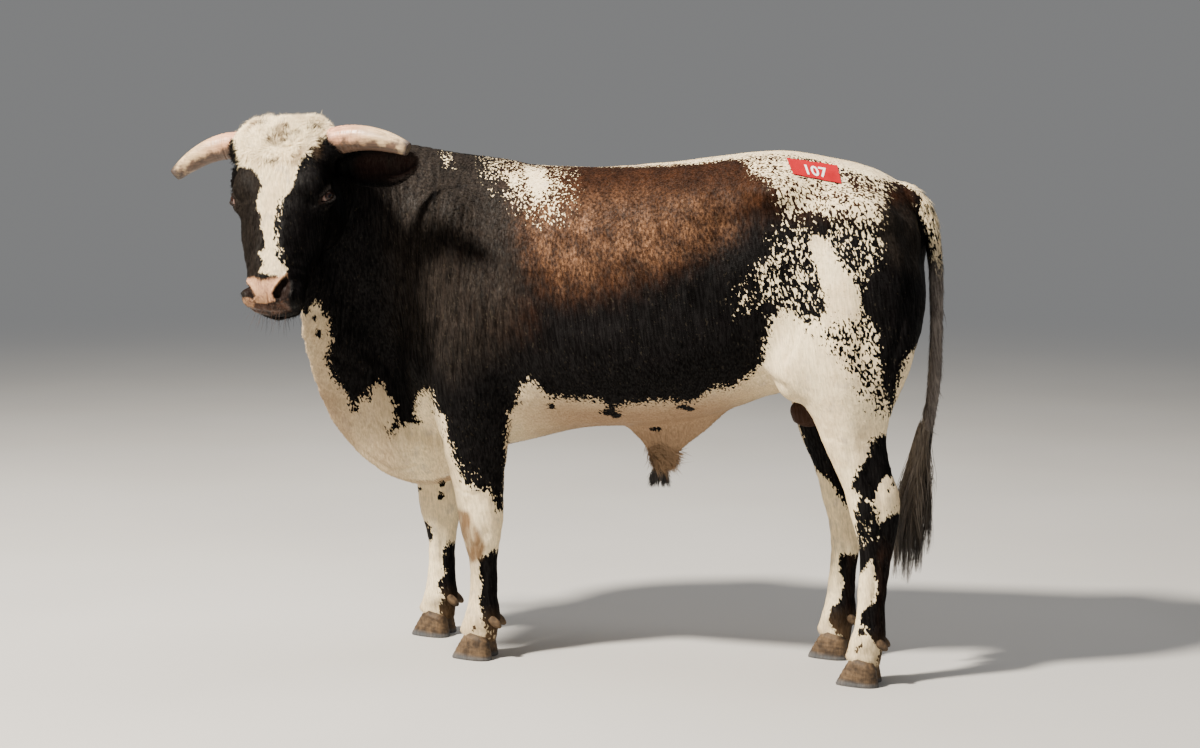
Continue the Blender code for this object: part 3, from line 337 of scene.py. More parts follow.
def ear_sheet(side, t, v):
    """Points of the ear's middle sheet: t from root to tip, v across from -1 to 1."""
    sign = dict(SIDES)[side]
    along, across, opens = ear_axes(side)
    width = EAR_HALF_WIDTH * np.interp(t, *EAR_PROFILE)
    width = width * np.sqrt(np.maximum(0.0, 1 - (np.maximum(0.0, t - 0.58) / 0.422) ** 1.9))
    cup = EAR_CUP * (1 - 0.55 * t) * (width / EAR_HALF_WIDTH) ** 0.5
    root = twin_point(sign, EAR_ROOT)
    return (root + along * (EAR_LENGTH * t)[..., None] + across * (width * v)[..., None]
            + opens * (cup * (v * v - 0.45))[..., None] + np.array((0, 0, -0.004)) * (t * t)[..., None])


def build_ear(side):
    """A cupped leaf, thick at its root and thin at its rim."""
    rows, columns = 64, 33
    t, v = np.meshgrid(np.linspace(0.0, 0.994, rows), np.linspace(-1, 1, columns), indexing="ij")
    sheet = ear_sheet(side, t, v)
    normal = unit(np.cross(np.gradient(sheet, axis=0), np.gradient(sheet, axis=1)))
    opens = ear_axes(side)[2]
    normal *= np.sign(normal @ opens)[..., None]
    thick = (0.0072 * (1 - 0.80 * v * v) * (1 - 0.45 * t) + 0.0006)[..., None]
    thick = thick + 0.022 * (rise(t, 0.16, 0.0) * (1 - v * v))[..., None]
    ridges = 0.0011 * (hump(v - 0.25, 0.10) + hump(v + 0.30, 0.10)) * rise(t, 0.1, 0.3) * rise(t, 0.9, 0.6)
    inner = sheet + normal * (0.35 * thick + ridges[..., None])
    outer = sheet - normal * 0.65 * thick
    ear = mesh_from("ear", np.concatenate((inner.reshape(-1, 3), outer.reshape(-1, 3))),
                    slab_faces(rows, columns))
    face_outward(ear)
    return ear


def refine(mesh, wanted):
    """Splits the faces in a region in four; wanted takes places of the modelling frame."""
    mask = wanted(read_places(mesh) - SHIFT)
    with editing(mesh) as bm:
        edges = [e for e in bm.edges if mask[e.verts[0].index] and mask[e.verts[1].index]]
        bmesh.ops.subdivide_edges(bm, edges=edges, cuts=1, use_grid_fill=True)


def head_parts(places):
    """Places in the head's own frame: side, down and out."""
    offset = places - POLL
    return offset @ SIDE, offset @ DOWN, offset @ OUT


def near_head(places, margin=0.0):
    side, down, out = head_parts(places)
    return ((np.abs(side) < 0.17 + margin) & (down > -0.06 - margin) & (down < 0.60)
            & (out > np.interp(down, (-0.1, 0.1, 0.235, 0.52), (-0.10, -0.21, -0.30, -0.17)) - margin)
            & (out < 0.10))


def near_eye_or_muzzle(places):
    side, down, out = head_parts(places)
    eye = (np.hypot(np.abs(side) - EYE_AT[0], down - EYE_AT[1]) < 0.052) & (out > -0.125)
    muzzle = (down > 0.405) & (down < 0.60) & (np.abs(side) < 0.12) & (out > -0.20)
    return eye | muzzle


def near_eye(places):
    side, down, out = head_parts(places)
    return (np.hypot(np.abs(side) - EYE_AT[0], down - EYE_AT[1]) < 0.034) & (out > -0.10)


NECK_LINE = [(0.60, 0.0), (-0.40, 0.0), (-0.55, 0.0), (-0.68, -0.035), (-0.77, -0.11), (-0.82, -0.20),
             (-0.842, -0.30), (-0.85, -0.42)]


def along_neck(places):
    """Length from the shoulder toward the head, along the middle of the neck seen from above."""
    best = np.full(len(places), 1e9)
    reach = np.zeros(len(places))
    walked = -1.0
    for (x0, y0), (x1, y1) in zip(NECK_LINE, NECK_LINE[1:]):
        length = math.hypot(x1 - x0, y1 - y0)
        t = ((places[:, 0] - x0) * (x1 - x0) + (places[:, 1] - y0) * (y1 - y0)) / length ** 2
        t = np.clip(t, 0.0, 1.0)
        far = (places[:, 0] - x0 - t * (x1 - x0)) ** 2 + (places[:, 1] - y0 - t * (y1 - y0)) ** 2
        reach = np.where(far < best, walked + t * length, reach)
        best = np.minimum(best, far)
        walked += length
    return reach


def wrinkled(places):
    """How wrinkled the hide is: most on the neck, fading behind the shoulder."""
    reach = along_neck(places)
    side, down, out = head_parts(places)
    off_head = 1 - rise(out, -0.26, -0.18) * rise(down, -0.2, -0.1) * (np.abs(side) < 0.25)
    return rise(reach, -0.32, 0.02) * off_head * rise(places[:, 2], 0.66, 0.80)


def fuse_flesh():
    """The flesh nodes as one mesh, without the thin cuts between them."""
    bm = bmesh.new()
    for name in FLESH + ["eye_left", "eye_right"]:
        bm.from_mesh(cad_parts[name].data)
    mesh = bpy.data.meshes.new("skin")
    bm.to_mesh(mesh)
    bm.free()
    skin = add_object("skin", mesh)
    fuse = skin.modifiers.new("fuse", "REMESH")
    fuse.mode = "VOXEL"
    fuse.voxel_size = SKIN_CELL
    apply_modifiers(skin)
    keep_largest(skin)
    return skin


def smooth_trunk(mesh):
    """Evens out the cells, most of all on the trunk, and sinks the step where the neck meets it."""
    places, ends = read_places(mesh), edge_ends(mesh)
    local = places - SHIFT
    trunk = rise(local[:, 2], 0.62, 0.82) * ~near_head(local, 0.03)
    tail = rise(local[:, 0], 0.765, 0.79)
    places = relax(places, ends, 1.0, 6)
    places = relax(places, ends, trunk * (1 - tail), 40)
    shoulder = trunk * hump(local[:, 0] + 0.60, 0.15) * (local[:, 0] < -0.35) * rise(local[:, 2], 0.80, 0.98)
    write_places(mesh, relax(places, ends, shoulder * ~near_head(local, 0.05), 110, 0.5, 0.5))


def join_ears(skin):
    for side, _ in SIDES:
        ear = build_ear(side)
        join = skin.modifiers.new("ear", "BOOLEAN")
        join.operation = "UNION"
        join.solver = "MANIFOLD"
        join.object = ear
        apply_modifiers(skin)
        bpy.data.objects.remove(ear, do_unlink=True)
    keep_largest(skin)


def build_skin():
    """The fused flesh with its ears, finer where it is carved, and drawn in to leave room for the coat."""
    skin = fuse_flesh()
    smooth_trunk(skin.data)
    join_ears(skin)
    mesh = skin.data
    refine(mesh, near_head)
    refine(mesh, near_eye_or_muzzle)
    refine(mesh, near_eye)
    refine(mesh, lambda places: (wrinkled(places) > 0.42) & ~near_head(places, 0.02))
    places, ends = read_places(mesh), edge_ends(mesh)
    local = places - SHIFT
    soft = np.where(near_ear(local) > 0.4, 0.0, 1.0)
    places = relax(places, ends, soft, 5)
    write_places(mesh, relax(places, ends, near_ear_root(local), 14, 0.5, 0.0))
    write_places(mesh, read_places(mesh) - read_places(mesh, "normal") * COAT_DEPTH * soft[:, None])
    return skin


def near_ear(places):
    """One on the free part of either ear, zero off it."""
    found = np.zeros(len(places))
    for side, sign in SIDES:
        along, across, opens = ear_axes(side)
        offset = places - twin_point(sign, EAR_ROOT)
        t = offset @ along / EAR_LENGTH
        on = (np.abs(offset @ across) < 0.055) & (np.abs(offset @ opens) < 0.045) & (t < 1.05)
        found = np.maximum(found, rise(t, 0.14, 0.26) * on)
    return found


def near_ear_root(places):
    found = np.zeros(len(places))
    for side, sign in SIDES:
        along, _, _ = ear_axes(side)
        root = twin_point(sign, EAR_ROOT) + along * 0.018
        found = np.maximum(found, 1 - rise(np.linalg.norm(places - root, axis=1), 0.030, 0.055))
    return found


# Carving the skin: each function takes places, and normals where it needs them, and gives places back

EYE_SLANT = math.radians(42)           # the long way of the eye against the face's
LID_LENGTH = 0.0205
LID_HEIGHT = (0.0118, 0.0088)          # above and below the middle of the opening
LID_THICK = 0.0034


def eye_frame(sign):
    """The eye's centre, the way to the muzzle, the way to the brow, and the way it looks."""
    look = head_vector(sign * EYE_LOOKS[0], EYE_LOOKS[1], EYE_LOOKS[2])
    toward = unit(DOWN - look * (DOWN @ look))
    brow = np.cross(toward, look) * sign
    toward, brow = (toward * math.cos(EYE_SLANT) + brow * math.sin(EYE_SLANT),
                    brow * math.cos(EYE_SLANT) - toward * math.sin(EYE_SLANT))
    return twin_point(sign, EYE_AT), toward, brow, look


def eye_opening(u, v):
    """One on the rim of the almond, less inside it."""
    height = np.where(v > 0, LID_HEIGHT[0], LID_HEIGHT[1])
    return (np.abs(u / LID_LENGTH) ** 1.9 + np.abs(v / height) ** 1.7) ** 0.55


def carve_eyes(places):
    for sign in (-1, 1):
        centre, toward, brow, look = eye_frame(sign)
        offset = places - centre
        u, v, w = offset @ toward, offset @ brow, offset @ look
        reach = np.hypot(u, v)
        near = (reach < 0.062) & (w > -0.02) & (w < 0.06)
        ball = np.sqrt(np.maximum(EYE_RADIUS ** 2 - reach ** 2, (0.35 * EYE_RADIUS) ** 2))
        opening = eye_opening(u, v)
        thick = LID_THICK * np.where(v > 0, 1.15, 0.85)
        lid = ball + thick * rise(opening, 0.98, 1.16) + 0.0006
        lid = np.where(opening < 1.0, ball - 0.0035 + 0.0041 * rise(opening, 0.90, 1.0), lid)
        share = 1 - rise(reach, 0.0205, 0.036)
        wanted = lid * share + w * (1 - share)
        crease_up = hump(opening - 1.95 - 2.0 * u, 0.20) * (v > 0) * 0.0022
        crease_low = hump(opening - 1.85, 0.16) * (v < 0) * 0.0012
        second = hump(opening - 2.65, 0.22) * (v > 0) * 0.0012
        lines = 0.0007 * np.sin(reach * 900 + np.arctan2(v, u) * 2) * rise(opening, 1.6, 2.2)
        fold = (crease_up + crease_low + second + lines * 0.6) * (1 - rise(reach, 0.034, 0.05))
        bag = 0.0018 * hump(opening - 1.45, 0.35) * (v < 0)
        brow_lift = 0.0045 * hump(np.hypot(u * 0.55 + 0.002, v - 0.031), 0.014)
        corner = 0.003 * hump(np.hypot((u - LID_LENGTH - 0.004) * 0.8, v + 0.001), 0.0042)
        change = (wanted - w - fold + bag + brow_lift - corner) * near * (1 - rise(reach, 0.048, 0.06))
        places = places + look * change[:, None]
    return places


# The left nostril's opening, the pad and the lips, in the photograph's pixels
NOSTRIL = [(286, 276), (281, 281), (276, 287), (273, 293), (275, 298), (281, 300), (287, 297), (290, 290),
           (290, 282)]
NOSTRIL_FAR = [(240, 279), (245, 281), (250, 287), (255, 296), (253, 299), (248, 296), (243, 290),
               (240, 284)]
NOSTRIL_FACES = (0.62, 0.42, 0.66)
NOSTRIL_DEPTH = 0.015
# The line of the mouth: where it runs on the head, and how far it tilts as it goes down the face
MOUTH_OUT = -0.108
MOUTH_TILT = 0.16
CHIN_LIFT = 0.015


def inside_nostril(places):
    """Distance in metres into either nostril's opening, negative outside it."""
    side, down, out = head_parts(places)
    found = np.full(len(places), -1.0)
    for mine, outline in ((side > 0, NOSTRIL), (side <= 0, NOSTRIL_FAR)):
        near = mine & (down > 0.40) & (out > -0.16)
        found[near] = signed_distance(pixels(places[near]), outline) * PIXEL
    return found


def carve_muzzle(places, normals):
    side, down, out = head_parts(places)
    blunt = rise(down, 0.44, 0.50) * rise(out, -0.075, -0.105) * (out > -0.2)
    places = places + (DOWN * 0.010 + OUT * 0.004) * blunt[:, None]
    places = places + SIDE * (0.012 * np.sign(side) * blunt * rise(np.abs(side), 0.015, 0.05))[:, None]
    side, down, out = head_parts(places)
    level = MOUTH_OUT - (down - 0.46) * MOUTH_TILT
    from_line = out - level
    along = rise(down, 0.392, 0.425) * (np.abs(side) < 0.12) * (out > -0.2)
    along = along * (1 - rise(np.abs(from_line), 0.03, 0.05))
    mouth = -0.0070 * hump(from_line, 0.0028) + 0.0030 * hump(from_line - 0.0095, 0.006)
    mouth += 0.0034 * hump(from_line + 0.0100, 0.007)
    into = inside_nostril(places)
    hollow = rise(into, -0.001, 0.007)
    wing = hump(into + 0.0065, 0.0042)
    corner = 0.5 + 0.5 * rise(out, -0.075, -0.045)
    faces = unit(OUT * NOSTRIL_FACES[2] + DOWN * NOSTRIL_FACES[1]
                 + SIDE * (NOSTRIL_FACES[0] * np.sign(side))[:, None])
    places = places + faces * (0.0042 * wing * corner - NOSTRIL_DEPTH * hollow)[:, None]
    places = places + normals * (mouth * along)[:, None]
    middle = 0.0018 * hump(side, 0.0022) * rise(down, 0.455, 0.475) * (out > -0.1)
    bulge = 0.0035 * hump(np.abs(side) - 0.022, 0.016) * hump(down - 0.478, 0.028) * rise(out, -0.06, -0.03)
    on = near_head(places, 0.01) & (down > 0.40)
    height = places[:, 2] - places[on, 2].min()
    chin = CHIN_LIFT * rise(height, 0.055, 0.0) * rise(down, 0.40, 0.45) * on
    return places + normals * (bulge - middle)[:, None] + UP * chin[:, None]


# Bones and muscles of the face: height, slant, middle and width down the face, the same out of it,
# and where across the face each comes in
FACE_FORMS = [
    (0.0055, 0.25, (0.300, 0.070), (-0.092, 0.016), (0.05, 0.08)),
    (-0.0060, 0.0, (0.345, 0.075), (-0.045, 0.022), (0.04, 0.07)),
    (0.0060, 0.0, (0.235, 0.075), (-0.185, 0.050), (0.05, 0.08)),
    (-0.0050, 0.0, (0.145, 0.032), (-0.090, 0.034), (0.07, 0.10)),
]
SLANT_ABOUT = -0.095


def carve_face(places, normals):
    """Bones and muscles of the head, with the folds between them."""
    side, down, out = head_parts(places)
    on = near_head(places, 0.01) * (1 - near_ear(places))
    across = np.abs(side)
    change = np.zeros(len(places))
    for height, slant, (middle, width), (spot, reach), (low, high) in FACE_FORMS:
        level = down - middle + slant * (out - SLANT_ABOUT)
        change += height * hump(level, width) * hump(out - spot, reach) * rise(across, low, high)
    nose = rise(down, 0.22, 0.27) * rise(down, 0.44, 0.38) * rise(out, -0.05, -0.02)
    change += 0.0038 * hump(across - 0.034, 0.013) * nose
    change -= 0.0040 * hump(side, 0.022) * hump(down - 0.115, 0.075) * rise(out, -0.05, -0.02)
    change += 0.0028 * hump(side, 0.040) * hump(down - 0.020, 0.035)
    change -= 0.0080 * hump(down - 0.005, 0.050) * rise(across, 0.070, 0.110) * (side > 0)
    change += 0.0060 * hump(down - 0.055, 0.045) * rise(across, 0.070, 0.100) * (side < 0)
    wave = np.sin(down * 330 + 1.5 * np.sin(side * 60)) * 0.5 + np.sin(down * 210 + side * 35)
    change += 0.0007 * wave * hump(across - 0.078, 0.030) * hump(down - 0.405, 0.050)
    brow = np.sin(side * 420 + 3 * np.sin(down * 40))
    change += 0.0006 * brow * hump(down - 0.16, 0.05) * hump(side, 0.05)
    change += 0.0008 * ripple(places, 0.05, 5)
    jaw = 0.0050 * hump(down - 0.29 - 0.9 * (out + 0.27), 0.03) * (out < -0.20)
    return places + normals * ((change - jaw) * on)[:, None]


# Creases on the left side, as lines of the photograph's pixels, with a depth and a width in metres
CREASES = [
    ([(433, 144), (437, 175), (436, 219), (442, 270)], 0.0050, 0.0090),
    ([(528, 262), (536, 310), (548, 388)], 0.0030, 0.0065),
    ([(541, 268), (549, 330), (560, 392)], 0.0024, 0.0055),
    ([(556, 300), (566, 350), (580, 396)], 0.0018, 0.0060),
    ([(517, 300), (521, 345), (524, 384)], 0.0030, 0.0080),
    ([(500, 250), (505, 320), (503, 372)], 0.0016, 0.0080),
    ([(434, 395), (440, 430), (444, 470)], 0.0050, 0.0090),
    ([(738, 392), (764, 376), (787, 388), (802, 407), (806, 424)], 0.0050, 0.0180),
    ([(800, 320), (792, 350), (778, 372)], 0.0022, 0.0140),
    ([(905, 218), (909, 262), (900, 330), (884, 392)], 0.0036, 0.0140),
    ([(868, 196), (892, 206), (907, 222)], 0.0035, 0.0120),
    ([(648, 395), (668, 418), (674, 440)], 0.0020, 0.0070),
    ([(700, 414), (684, 432), (676, 448)], 0.0018, 0.0070),
    ([(345, 440), (392, 470), (446, 462)], 0.0026, 0.0080),
    ([(366, 420), (400, 452), (438, 452)], 0.0020, 0.0070),
]
CREASE_MARGIN = 12                     # how far from its box a crease still shows, in pixels
RIB_PERIOD = 0.075
WRINKLE_PERIOD = 0.026
FINE_WRINKLE_PERIOD = 0.0135
DRAPE_PERIOD = 0.045
# Swellings and hollows of the trunk: place, radii, height
FORMS = [
    ((-0.46, 0.23, 1.17), (0.030, 0.2, 0.150), 0.0070),
    ((-0.40, 0.25, 0.98), (0.070, 0.2, 0.090), 0.0060),
    ((-0.33, 0.26, 1.10), (0.045, 0.2, 0.160), -0.0060),
    ((-0.30, 0.26, 0.80), (0.040, 0.2, 0.080), -0.0070),
    ((0.29, 0.24, 1.20), (0.070, 0.2, 0.065), -0.0120),
    ((0.405, 0.20, 1.285), (0.045, 0.12, 0.035), 0.0090),
    ((0.40, 0.20, 0.98), (0.060, 0.2, 0.120), -0.0060),
    ((0.56, 0.22, 0.98), (0.085, 0.2, 0.150), 0.0060),
    ((0.655, 0.19, 0.98), (0.022, 0.2, 0.160), -0.0050),
    ((0.47, 0.22, 0.83), (0.050, 0.2, 0.050), 0.0050),
    ((0.56, 0.15, 1.30), (0.080, 0.10, 0.040), -0.0060),
    ((0.72, 0.08, 1.20), (0.030, 0.06, 0.045), 0.0060),
]


def crease_height(places):
    """The folds of the left side, and their twins on the right."""
    change = np.zeros(len(places))
    for mine, spots in ((places[:, 1] < 0.01, places), (places[:, 1] > -0.01, places * MIRROR)):
        flat = pixels(spots)
        for line, depth, width in CREASES:
            low = np.min(line, axis=0) - CREASE_MARGIN
            high = np.max(line, axis=0) + CREASE_MARGIN
            near = mine & ((flat > low) & (flat < high)).all(axis=1)
            far = line_distance(flat[near], line) * PIXEL
            span = 0.35 * np.linalg.norm(np.subtract(line[-1], line[0]))
            ends = [rise(np.linalg.norm(flat[near] - end, axis=1), 0.0, span) for end in (line[0], line[-1])]
            fold = -depth * hump(far, width * 0.55) + 0.35 * depth * hump(far - width * 1.3, width * 0.7)
            change[near] += fold * ends[0] * ends[1]
    return change


def wrinkle_height(places):
    """Upright wrinkles round the neck, and the drapes of the throat."""
    reach = along_neck(places)
    tall = places * np.array((1, 1, 0.5))
    warp = 0.010 * ripple(places * np.array((1, 1, 0.45)), 0.30, 2) + 0.006 * ripple(tall, 0.11, 3)
    broad = np.abs(np.sin((reach + warp) * math.pi / WRINKLE_PERIOD)) ** 0.7
    fine = np.abs(np.sin((reach + 1.3 * warp) * math.pi / FINE_WRINKLE_PERIOD + 0.7)) ** 0.8
    patchy = 0.6 + 0.4 * ripple(tall, 0.2, 6)
    change = wrinkled(places) * patchy * (0.0032 * (broad - 0.65) + 0.0016 * (fine - 0.6))
    throat = rise(places[:, 0], -0.60, -0.74) * rise(places[:, 2], 1.12, 0.95)
    across = places[:, 2] * 0.75 + places[:, 0] * 0.6 + 0.6 * warp
    drape = np.abs(np.sin(across * math.pi / DRAPE_PERIOD)) ** 0.7
    return change + 0.0018 * throat * (drape - 0.65)


def carve_trunk(places, normals):
    x, y, z = places.T
    change = crease_height(places)
    folded = np.stack((x, np.abs(y), z), axis=1)
    for middle, radii, height in FORMS:
        offset = (folded - np.array(middle)) / radii
        change += 1.25 * height * np.exp(-(offset ** 2).sum(axis=1))
    ribs = 0.0012 * np.sin((x + 0.25 * (1.2 - z)) * 2 * math.pi / RIB_PERIOD)
    change += ribs * rise(x, -0.28, -0.1) * rise(x, 0.34, 0.2) * hump(z - 0.98, 0.16)
    change += 0.0012 * ripple(places, 0.16, 8) + 0.0005 * ripple(places, 0.06, 9)
    change += wrinkle_height(places)
    return places + normals * change[:, None]


# Legs: a height, and where from the front (0) to the back (1) of the leg a groove or ridge runs
LEG_FORMS = {
    "fore": [(0.245, 0.62, 0.075, 0.07, -0.0042), (0.245, 0.86, 0.075, 0.07, 0.0016),
             (0.245, 0.30, 0.075, 0.12, 0.0014), (0.350, 0.30, 0.022, 0.16, 0.0028),
             (0.318, 0.30, 0.012, 0.20, -0.0022), (0.345, 0.72, 0.030, 0.10, -0.0030),
             (0.110, 0.45, 0.018, 0.30, 0.0020), (0.075, 0.40, 0.014, 0.30, -0.0022),
             (0.500, 0.45, 0.070, 0.08, -0.0040), (0.520, 0.25, 0.060, 0.10, 0.0030),
             (0.480, 0.75, 0.070, 0.10, 0.0030)],
    "hind": [(0.270, 0.60, 0.090, 0.07, -0.0046), (0.270, 0.86, 0.090, 0.07, 0.0018),
             (0.290, 0.28, 0.090, 0.12, 0.0016), (0.560, 0.66, 0.060, 0.09, -0.0075),
             (0.500, 0.80, 0.040, 0.10, 0.0030), (0.455, 0.40, 0.030, 0.20, 0.0030),
             (0.420, 0.68, 0.040, 0.10, -0.0030), (0.130, 0.45, 0.018, 0.30, 0.0020),
             (0.088, 0.40, 0.014, 0.30, -0.0022), (0.640, 0.45, 0.060, 0.08, -0.0036),
             (0.650, 0.80, 0.050, 0.08, -0.0030)],
}
LEG_BANDS = 80
BAND_HEIGHT = 0.01
FEET = {"fore_left": (-0.424, -0.130), "fore_right": (-0.619, 0.108),
        "hind_left": (0.645, -0.170), "hind_right": (0.525, 0.115)}


def leg_of(places):
    """Which leg each point belongs to, by name, or an empty name."""
    names = np.full(len(places), "", dtype="U10")
    low = places[:, 2] < 0.70
    for name, (x, y) in FEET.items():
        reach = 0.14 if name.startswith("fore") else 0.19
        beside = (np.sign(places[:, 1]) == np.sign(y)) & (np.abs(places[:, 1]) > 0.02)
        names[low & beside & (np.abs(places[:, 0] - x) < reach)] = name
    return names


def carve_legs(places, normals):
    names = leg_of(places)
    change = np.zeros(len(places))
    for name in FEET:
        mine = np.flatnonzero(names == name)
        x, z = places[mine, 0], places[mine, 2]
        level = np.clip((z / BAND_HEIGHT).astype(int), 0, LEG_BANDS - 1)
        front = np.full(LEG_BANDS, 1e9)
        back = np.full(LEG_BANDS, -1e9)
        np.minimum.at(front, level, x)
        np.maximum.at(back, level, x)
        known = front < 1e8
        heights = (np.arange(LEG_BANDS) + 0.5) * BAND_HEIGHT
        front = np.interp(z, heights[known], front[known])
        back = np.interp(z, heights[known], back[known])
        share = (x - front) / np.maximum(back - front, 0.01)
        flank = rise(np.abs(normals[mine, 1]), 0.35, 0.8)
        for height, spot, tall, wide, lift in LEG_FORMS[name[:4]]:
            change[mine] += lift * hump(z - height, tall) * hump(share - spot, wide) * flank
        toes = hump(places[mine, 1] - FEET[name][1], 0.0045) * rise(z, 0.105, 0.085) * (share < 0.4)
        change[mine] -= 0.0040 * toes
        change[mine] += 0.0007 * ripple(places[mine], 0.035, 12)
    return places + normals * change[:, None]


def carve(skin):
    for shape in (carve_trunk, carve_legs, carve_face, carve_muzzle):
        places = read_places(skin.data) - SHIFT
        normals = read_places(skin.data, "normal")
        write_places(skin.data, shape(places, normals) + SHIFT)
    write_places(skin.data, carve_eyes(read_places(skin.data) - SHIFT) + SHIFT)


# Markings, as outlines in the photograph's pixels. Each layer is a share of white hair from 0 to 1,
# the width in pixels over which it fades in, and an outline. Later layers lie over earlier ones.

DARK_COAT = [(225, 90), (960, 90), (960, 330), (908, 352), (897, 378), (890, 410), (868, 414), (800, 372),
             (762, 366), (750, 374), (736, 386), (714, 388), (695, 401), (659, 401), (622, 405), (612, 410),
             (600, 401), (586, 399), (554, 398), (537, 387), (528, 379), (521, 387), (518, 403), (510, 414),
             (507, 437), (507, 456), (504, 512), (496, 508), (489, 490), (475, 488), (463, 479), (455, 460),
             (452, 447), (446, 435), (445, 417), (436, 412), (430, 392), (424, 390), (417, 398), (415, 414),
             (420, 423), (401, 425), (390, 434), (388, 426), (396, 421), (394, 403), (379, 383), (372, 386),
             (368, 401), (363, 394), (359, 399), (357, 412), (352, 407), (346, 394), (333, 378), (325, 356),
             (331, 340), (327, 318), (318, 302), (300, 306), (288, 330), (225, 330)]
COAT_LAYERS = [
    (0.0, 5.0, DARK_COAT),
    (0.72, 1.6, [(560, 150), (740, 140), (745, 157.5), (700, 163.5), (656, 166), (620, 167), (560, 164)]),
    (0.92, 3.0, [(712, 140), (960, 140), (960, 240), (938, 228), (930, 208), (917, 192), (895, 181),
                 (868, 177), (845, 171), (826, 163), (790, 156), (745, 157), (712, 154)]),
    (0.58, 7.0, [(740, 156), (785, 155), (845, 170), (892, 184), (888, 206), (882, 226), (868, 226),
                 (835, 218), (802, 214), (785, 224), (778, 200), (772, 184), (750, 172)]),
    (0.34, 5.0, [(843, 174), (872, 180), (886, 190), (880, 197), (852, 192)]),
    (0.34, 9.0, [(779, 226), (802, 218), (814, 238), (824, 292), (819, 322), (787, 322), (768, 302),
                 (733, 311), (736, 292), (758, 263)]),
    (0.36, 9.0, [(820, 216), (852, 222), (884, 236), (888, 254), (873, 273), (858, 298), (840, 262),
                 (827, 238)]),
    (1.0, 3.5, [(811, 236), (828, 238), (839, 262), (854, 283), (863, 302), (856, 314), (827, 314),
                (823, 288), (812, 254)]),
    (1.0, 6.0, [(758, 368), (766, 344), (770, 318), (782, 311), (800, 318), (819, 319), (840, 311),
                (862, 311), (870, 332), (880, 358), (887, 384), (889, 416), (800, 420), (756, 400)]),
    (0.52, 8.0, [(822, 330), (848, 318), (866, 318), (882, 345), (888, 380), (888, 412), (872, 412),
                 (862, 395), (845, 370), (828, 352)]),
    (0.0, 4.0, [(884, 210), (893, 186), (908, 188), (922, 204), (933, 226), (960, 239), (960, 300),
                (923, 330), (908, 354), (897, 382), (891, 412), (886, 392), (880, 355), (880, 321),
                (866, 309), (861, 298), (873, 273), (888, 254), (884, 235)]),
    (0.40, 12.0, [(486, 160), (530, 158), (572, 177), (570, 202), (560, 224), (546, 222), (530, 216),
                  (514, 204), (500, 190), (488, 174)]),
    (0.95, 5.0, [(526, 170), (543, 170), (546, 188), (538, 198), (529, 190)]),
    (0.80, 4.0, [(507, 172), (518, 176), (520, 187), (510, 185)]),
    (0.40, 4.0, [(441, 150), (450, 150), (453, 166), (444, 169)]),
]
HIND_LEFT_LAYERS = [
    (0.0, 2.6, [(883, 434), (910, 440), (910, 482), (898, 482), (885, 475), (880, 484), (875, 501),
                (861, 498), (852, 488), (855, 475), (867, 458), (870, 441)]),
    (0.0, 2.0, [(858, 499), (875, 503), (880, 522), (893, 512), (915, 512), (910, 560), (892, 580),
                (890, 648), (872, 640), (861, 621), (861, 612), (874, 601), (877, 586), (872, 558),
                (859, 576), (857, 549), (861, 532), (855, 514)]),
    (0.15, 3.0, [(856, 506), (876, 512), (878, 538), (866, 546), (856, 540)]),
    (0.94, 2.4, [(880, 484), (893, 478), (915, 482), (915, 511), (889, 514), (880, 523), (875, 510)]),
    (0.10, 2.0, [(880, 648), (900, 640), (900, 664), (876, 662)]),
]
HIND_RIGHT_LAYERS = [
    (0.0, 2.6, [(770, 380), (860, 380), (860, 508), (845, 506), (838, 494), (831, 483), (816, 470),
                (809, 460), (799, 426), (788, 408), (770, 400)]),
    (0.0, 1.6, [(839, 553), (870, 556), (870, 640), (846, 640), (832, 627), (828, 618), (832, 606),
                (840, 601), (844, 584), (839, 567)]),
]
FORE_LEFT_LAYERS = [
    (0.12, 5.0, [(462, 458), (474, 468), (488, 486), (478, 490), (466, 480)]),
    (0.20, 5.0, [(490, 428), (508, 420), (508, 442), (494, 444)]),
    (0.0, 2.6, [(477, 558), (488, 554), (491, 549), (515, 552), (515, 632), (488, 632), (482, 619),
                (480, 598), (482, 587), (479, 571)]),
    (0.10, 2.0, [(486, 632), (512, 632), (512, 650), (480, 652)]),
]
FORE_RIGHT_LAYERS = [
    (0.0, 2.6, [(446, 543), (462, 540), (475, 575), (475, 636), (447, 636), (441, 621), (439, 603),
                (444, 596), (438, 586), (445, 571), (442, 557)]),
    (0.25, 3.0, [(420, 520), (430, 524), (432, 540), (424, 540)]),
]
HEAD_LAYERS = [
    (1.0, 1.3, [(345, 90), (225, 90), (225, 128), (233, 133), (238, 145), (243, 158), (240, 165), (253, 167),
                (262, 181), (263, 186), (258, 194), (257, 206), (262, 215), (261, 224), (265, 238),
                (265, 247), (259, 252), (264, 262), (258, 272), (275, 274), (284, 277), (287, 266),
                (280, 261), (276, 253), (280, 247), (274, 238), (275, 222), (277, 207), (283, 198),
                (292, 187), (296, 176), (298, 166), (304, 154), (309, 146), (314, 141), (323, 139),
                (338, 137), (343, 130)]),
    (0.45, 3.0, [(277, 206), (283, 196), (284, 208), (279, 222), (279, 240), (282, 250), (284, 262),
                 (278, 258), (276, 240), (275, 222)]),
    (0.0, 1.5, [(256, 273), (264, 271), (275, 275), (277, 279), (256, 279)]),
]
PAD = [(242, 283), (244, 279), (247, 277), (254, 276), (262, 279), (270, 277), (280, 275), (287, 273),
       (287, 277), (281, 283), (276, 289), (274, 296), (275, 301), (266, 304), (256, 303), (252, 297),
       (249, 290), (246, 285)]
LIP = [(245, 299), (256, 302), (276, 302), (288, 299), (291, 311), (273, 315), (250, 314), (243, 306)]
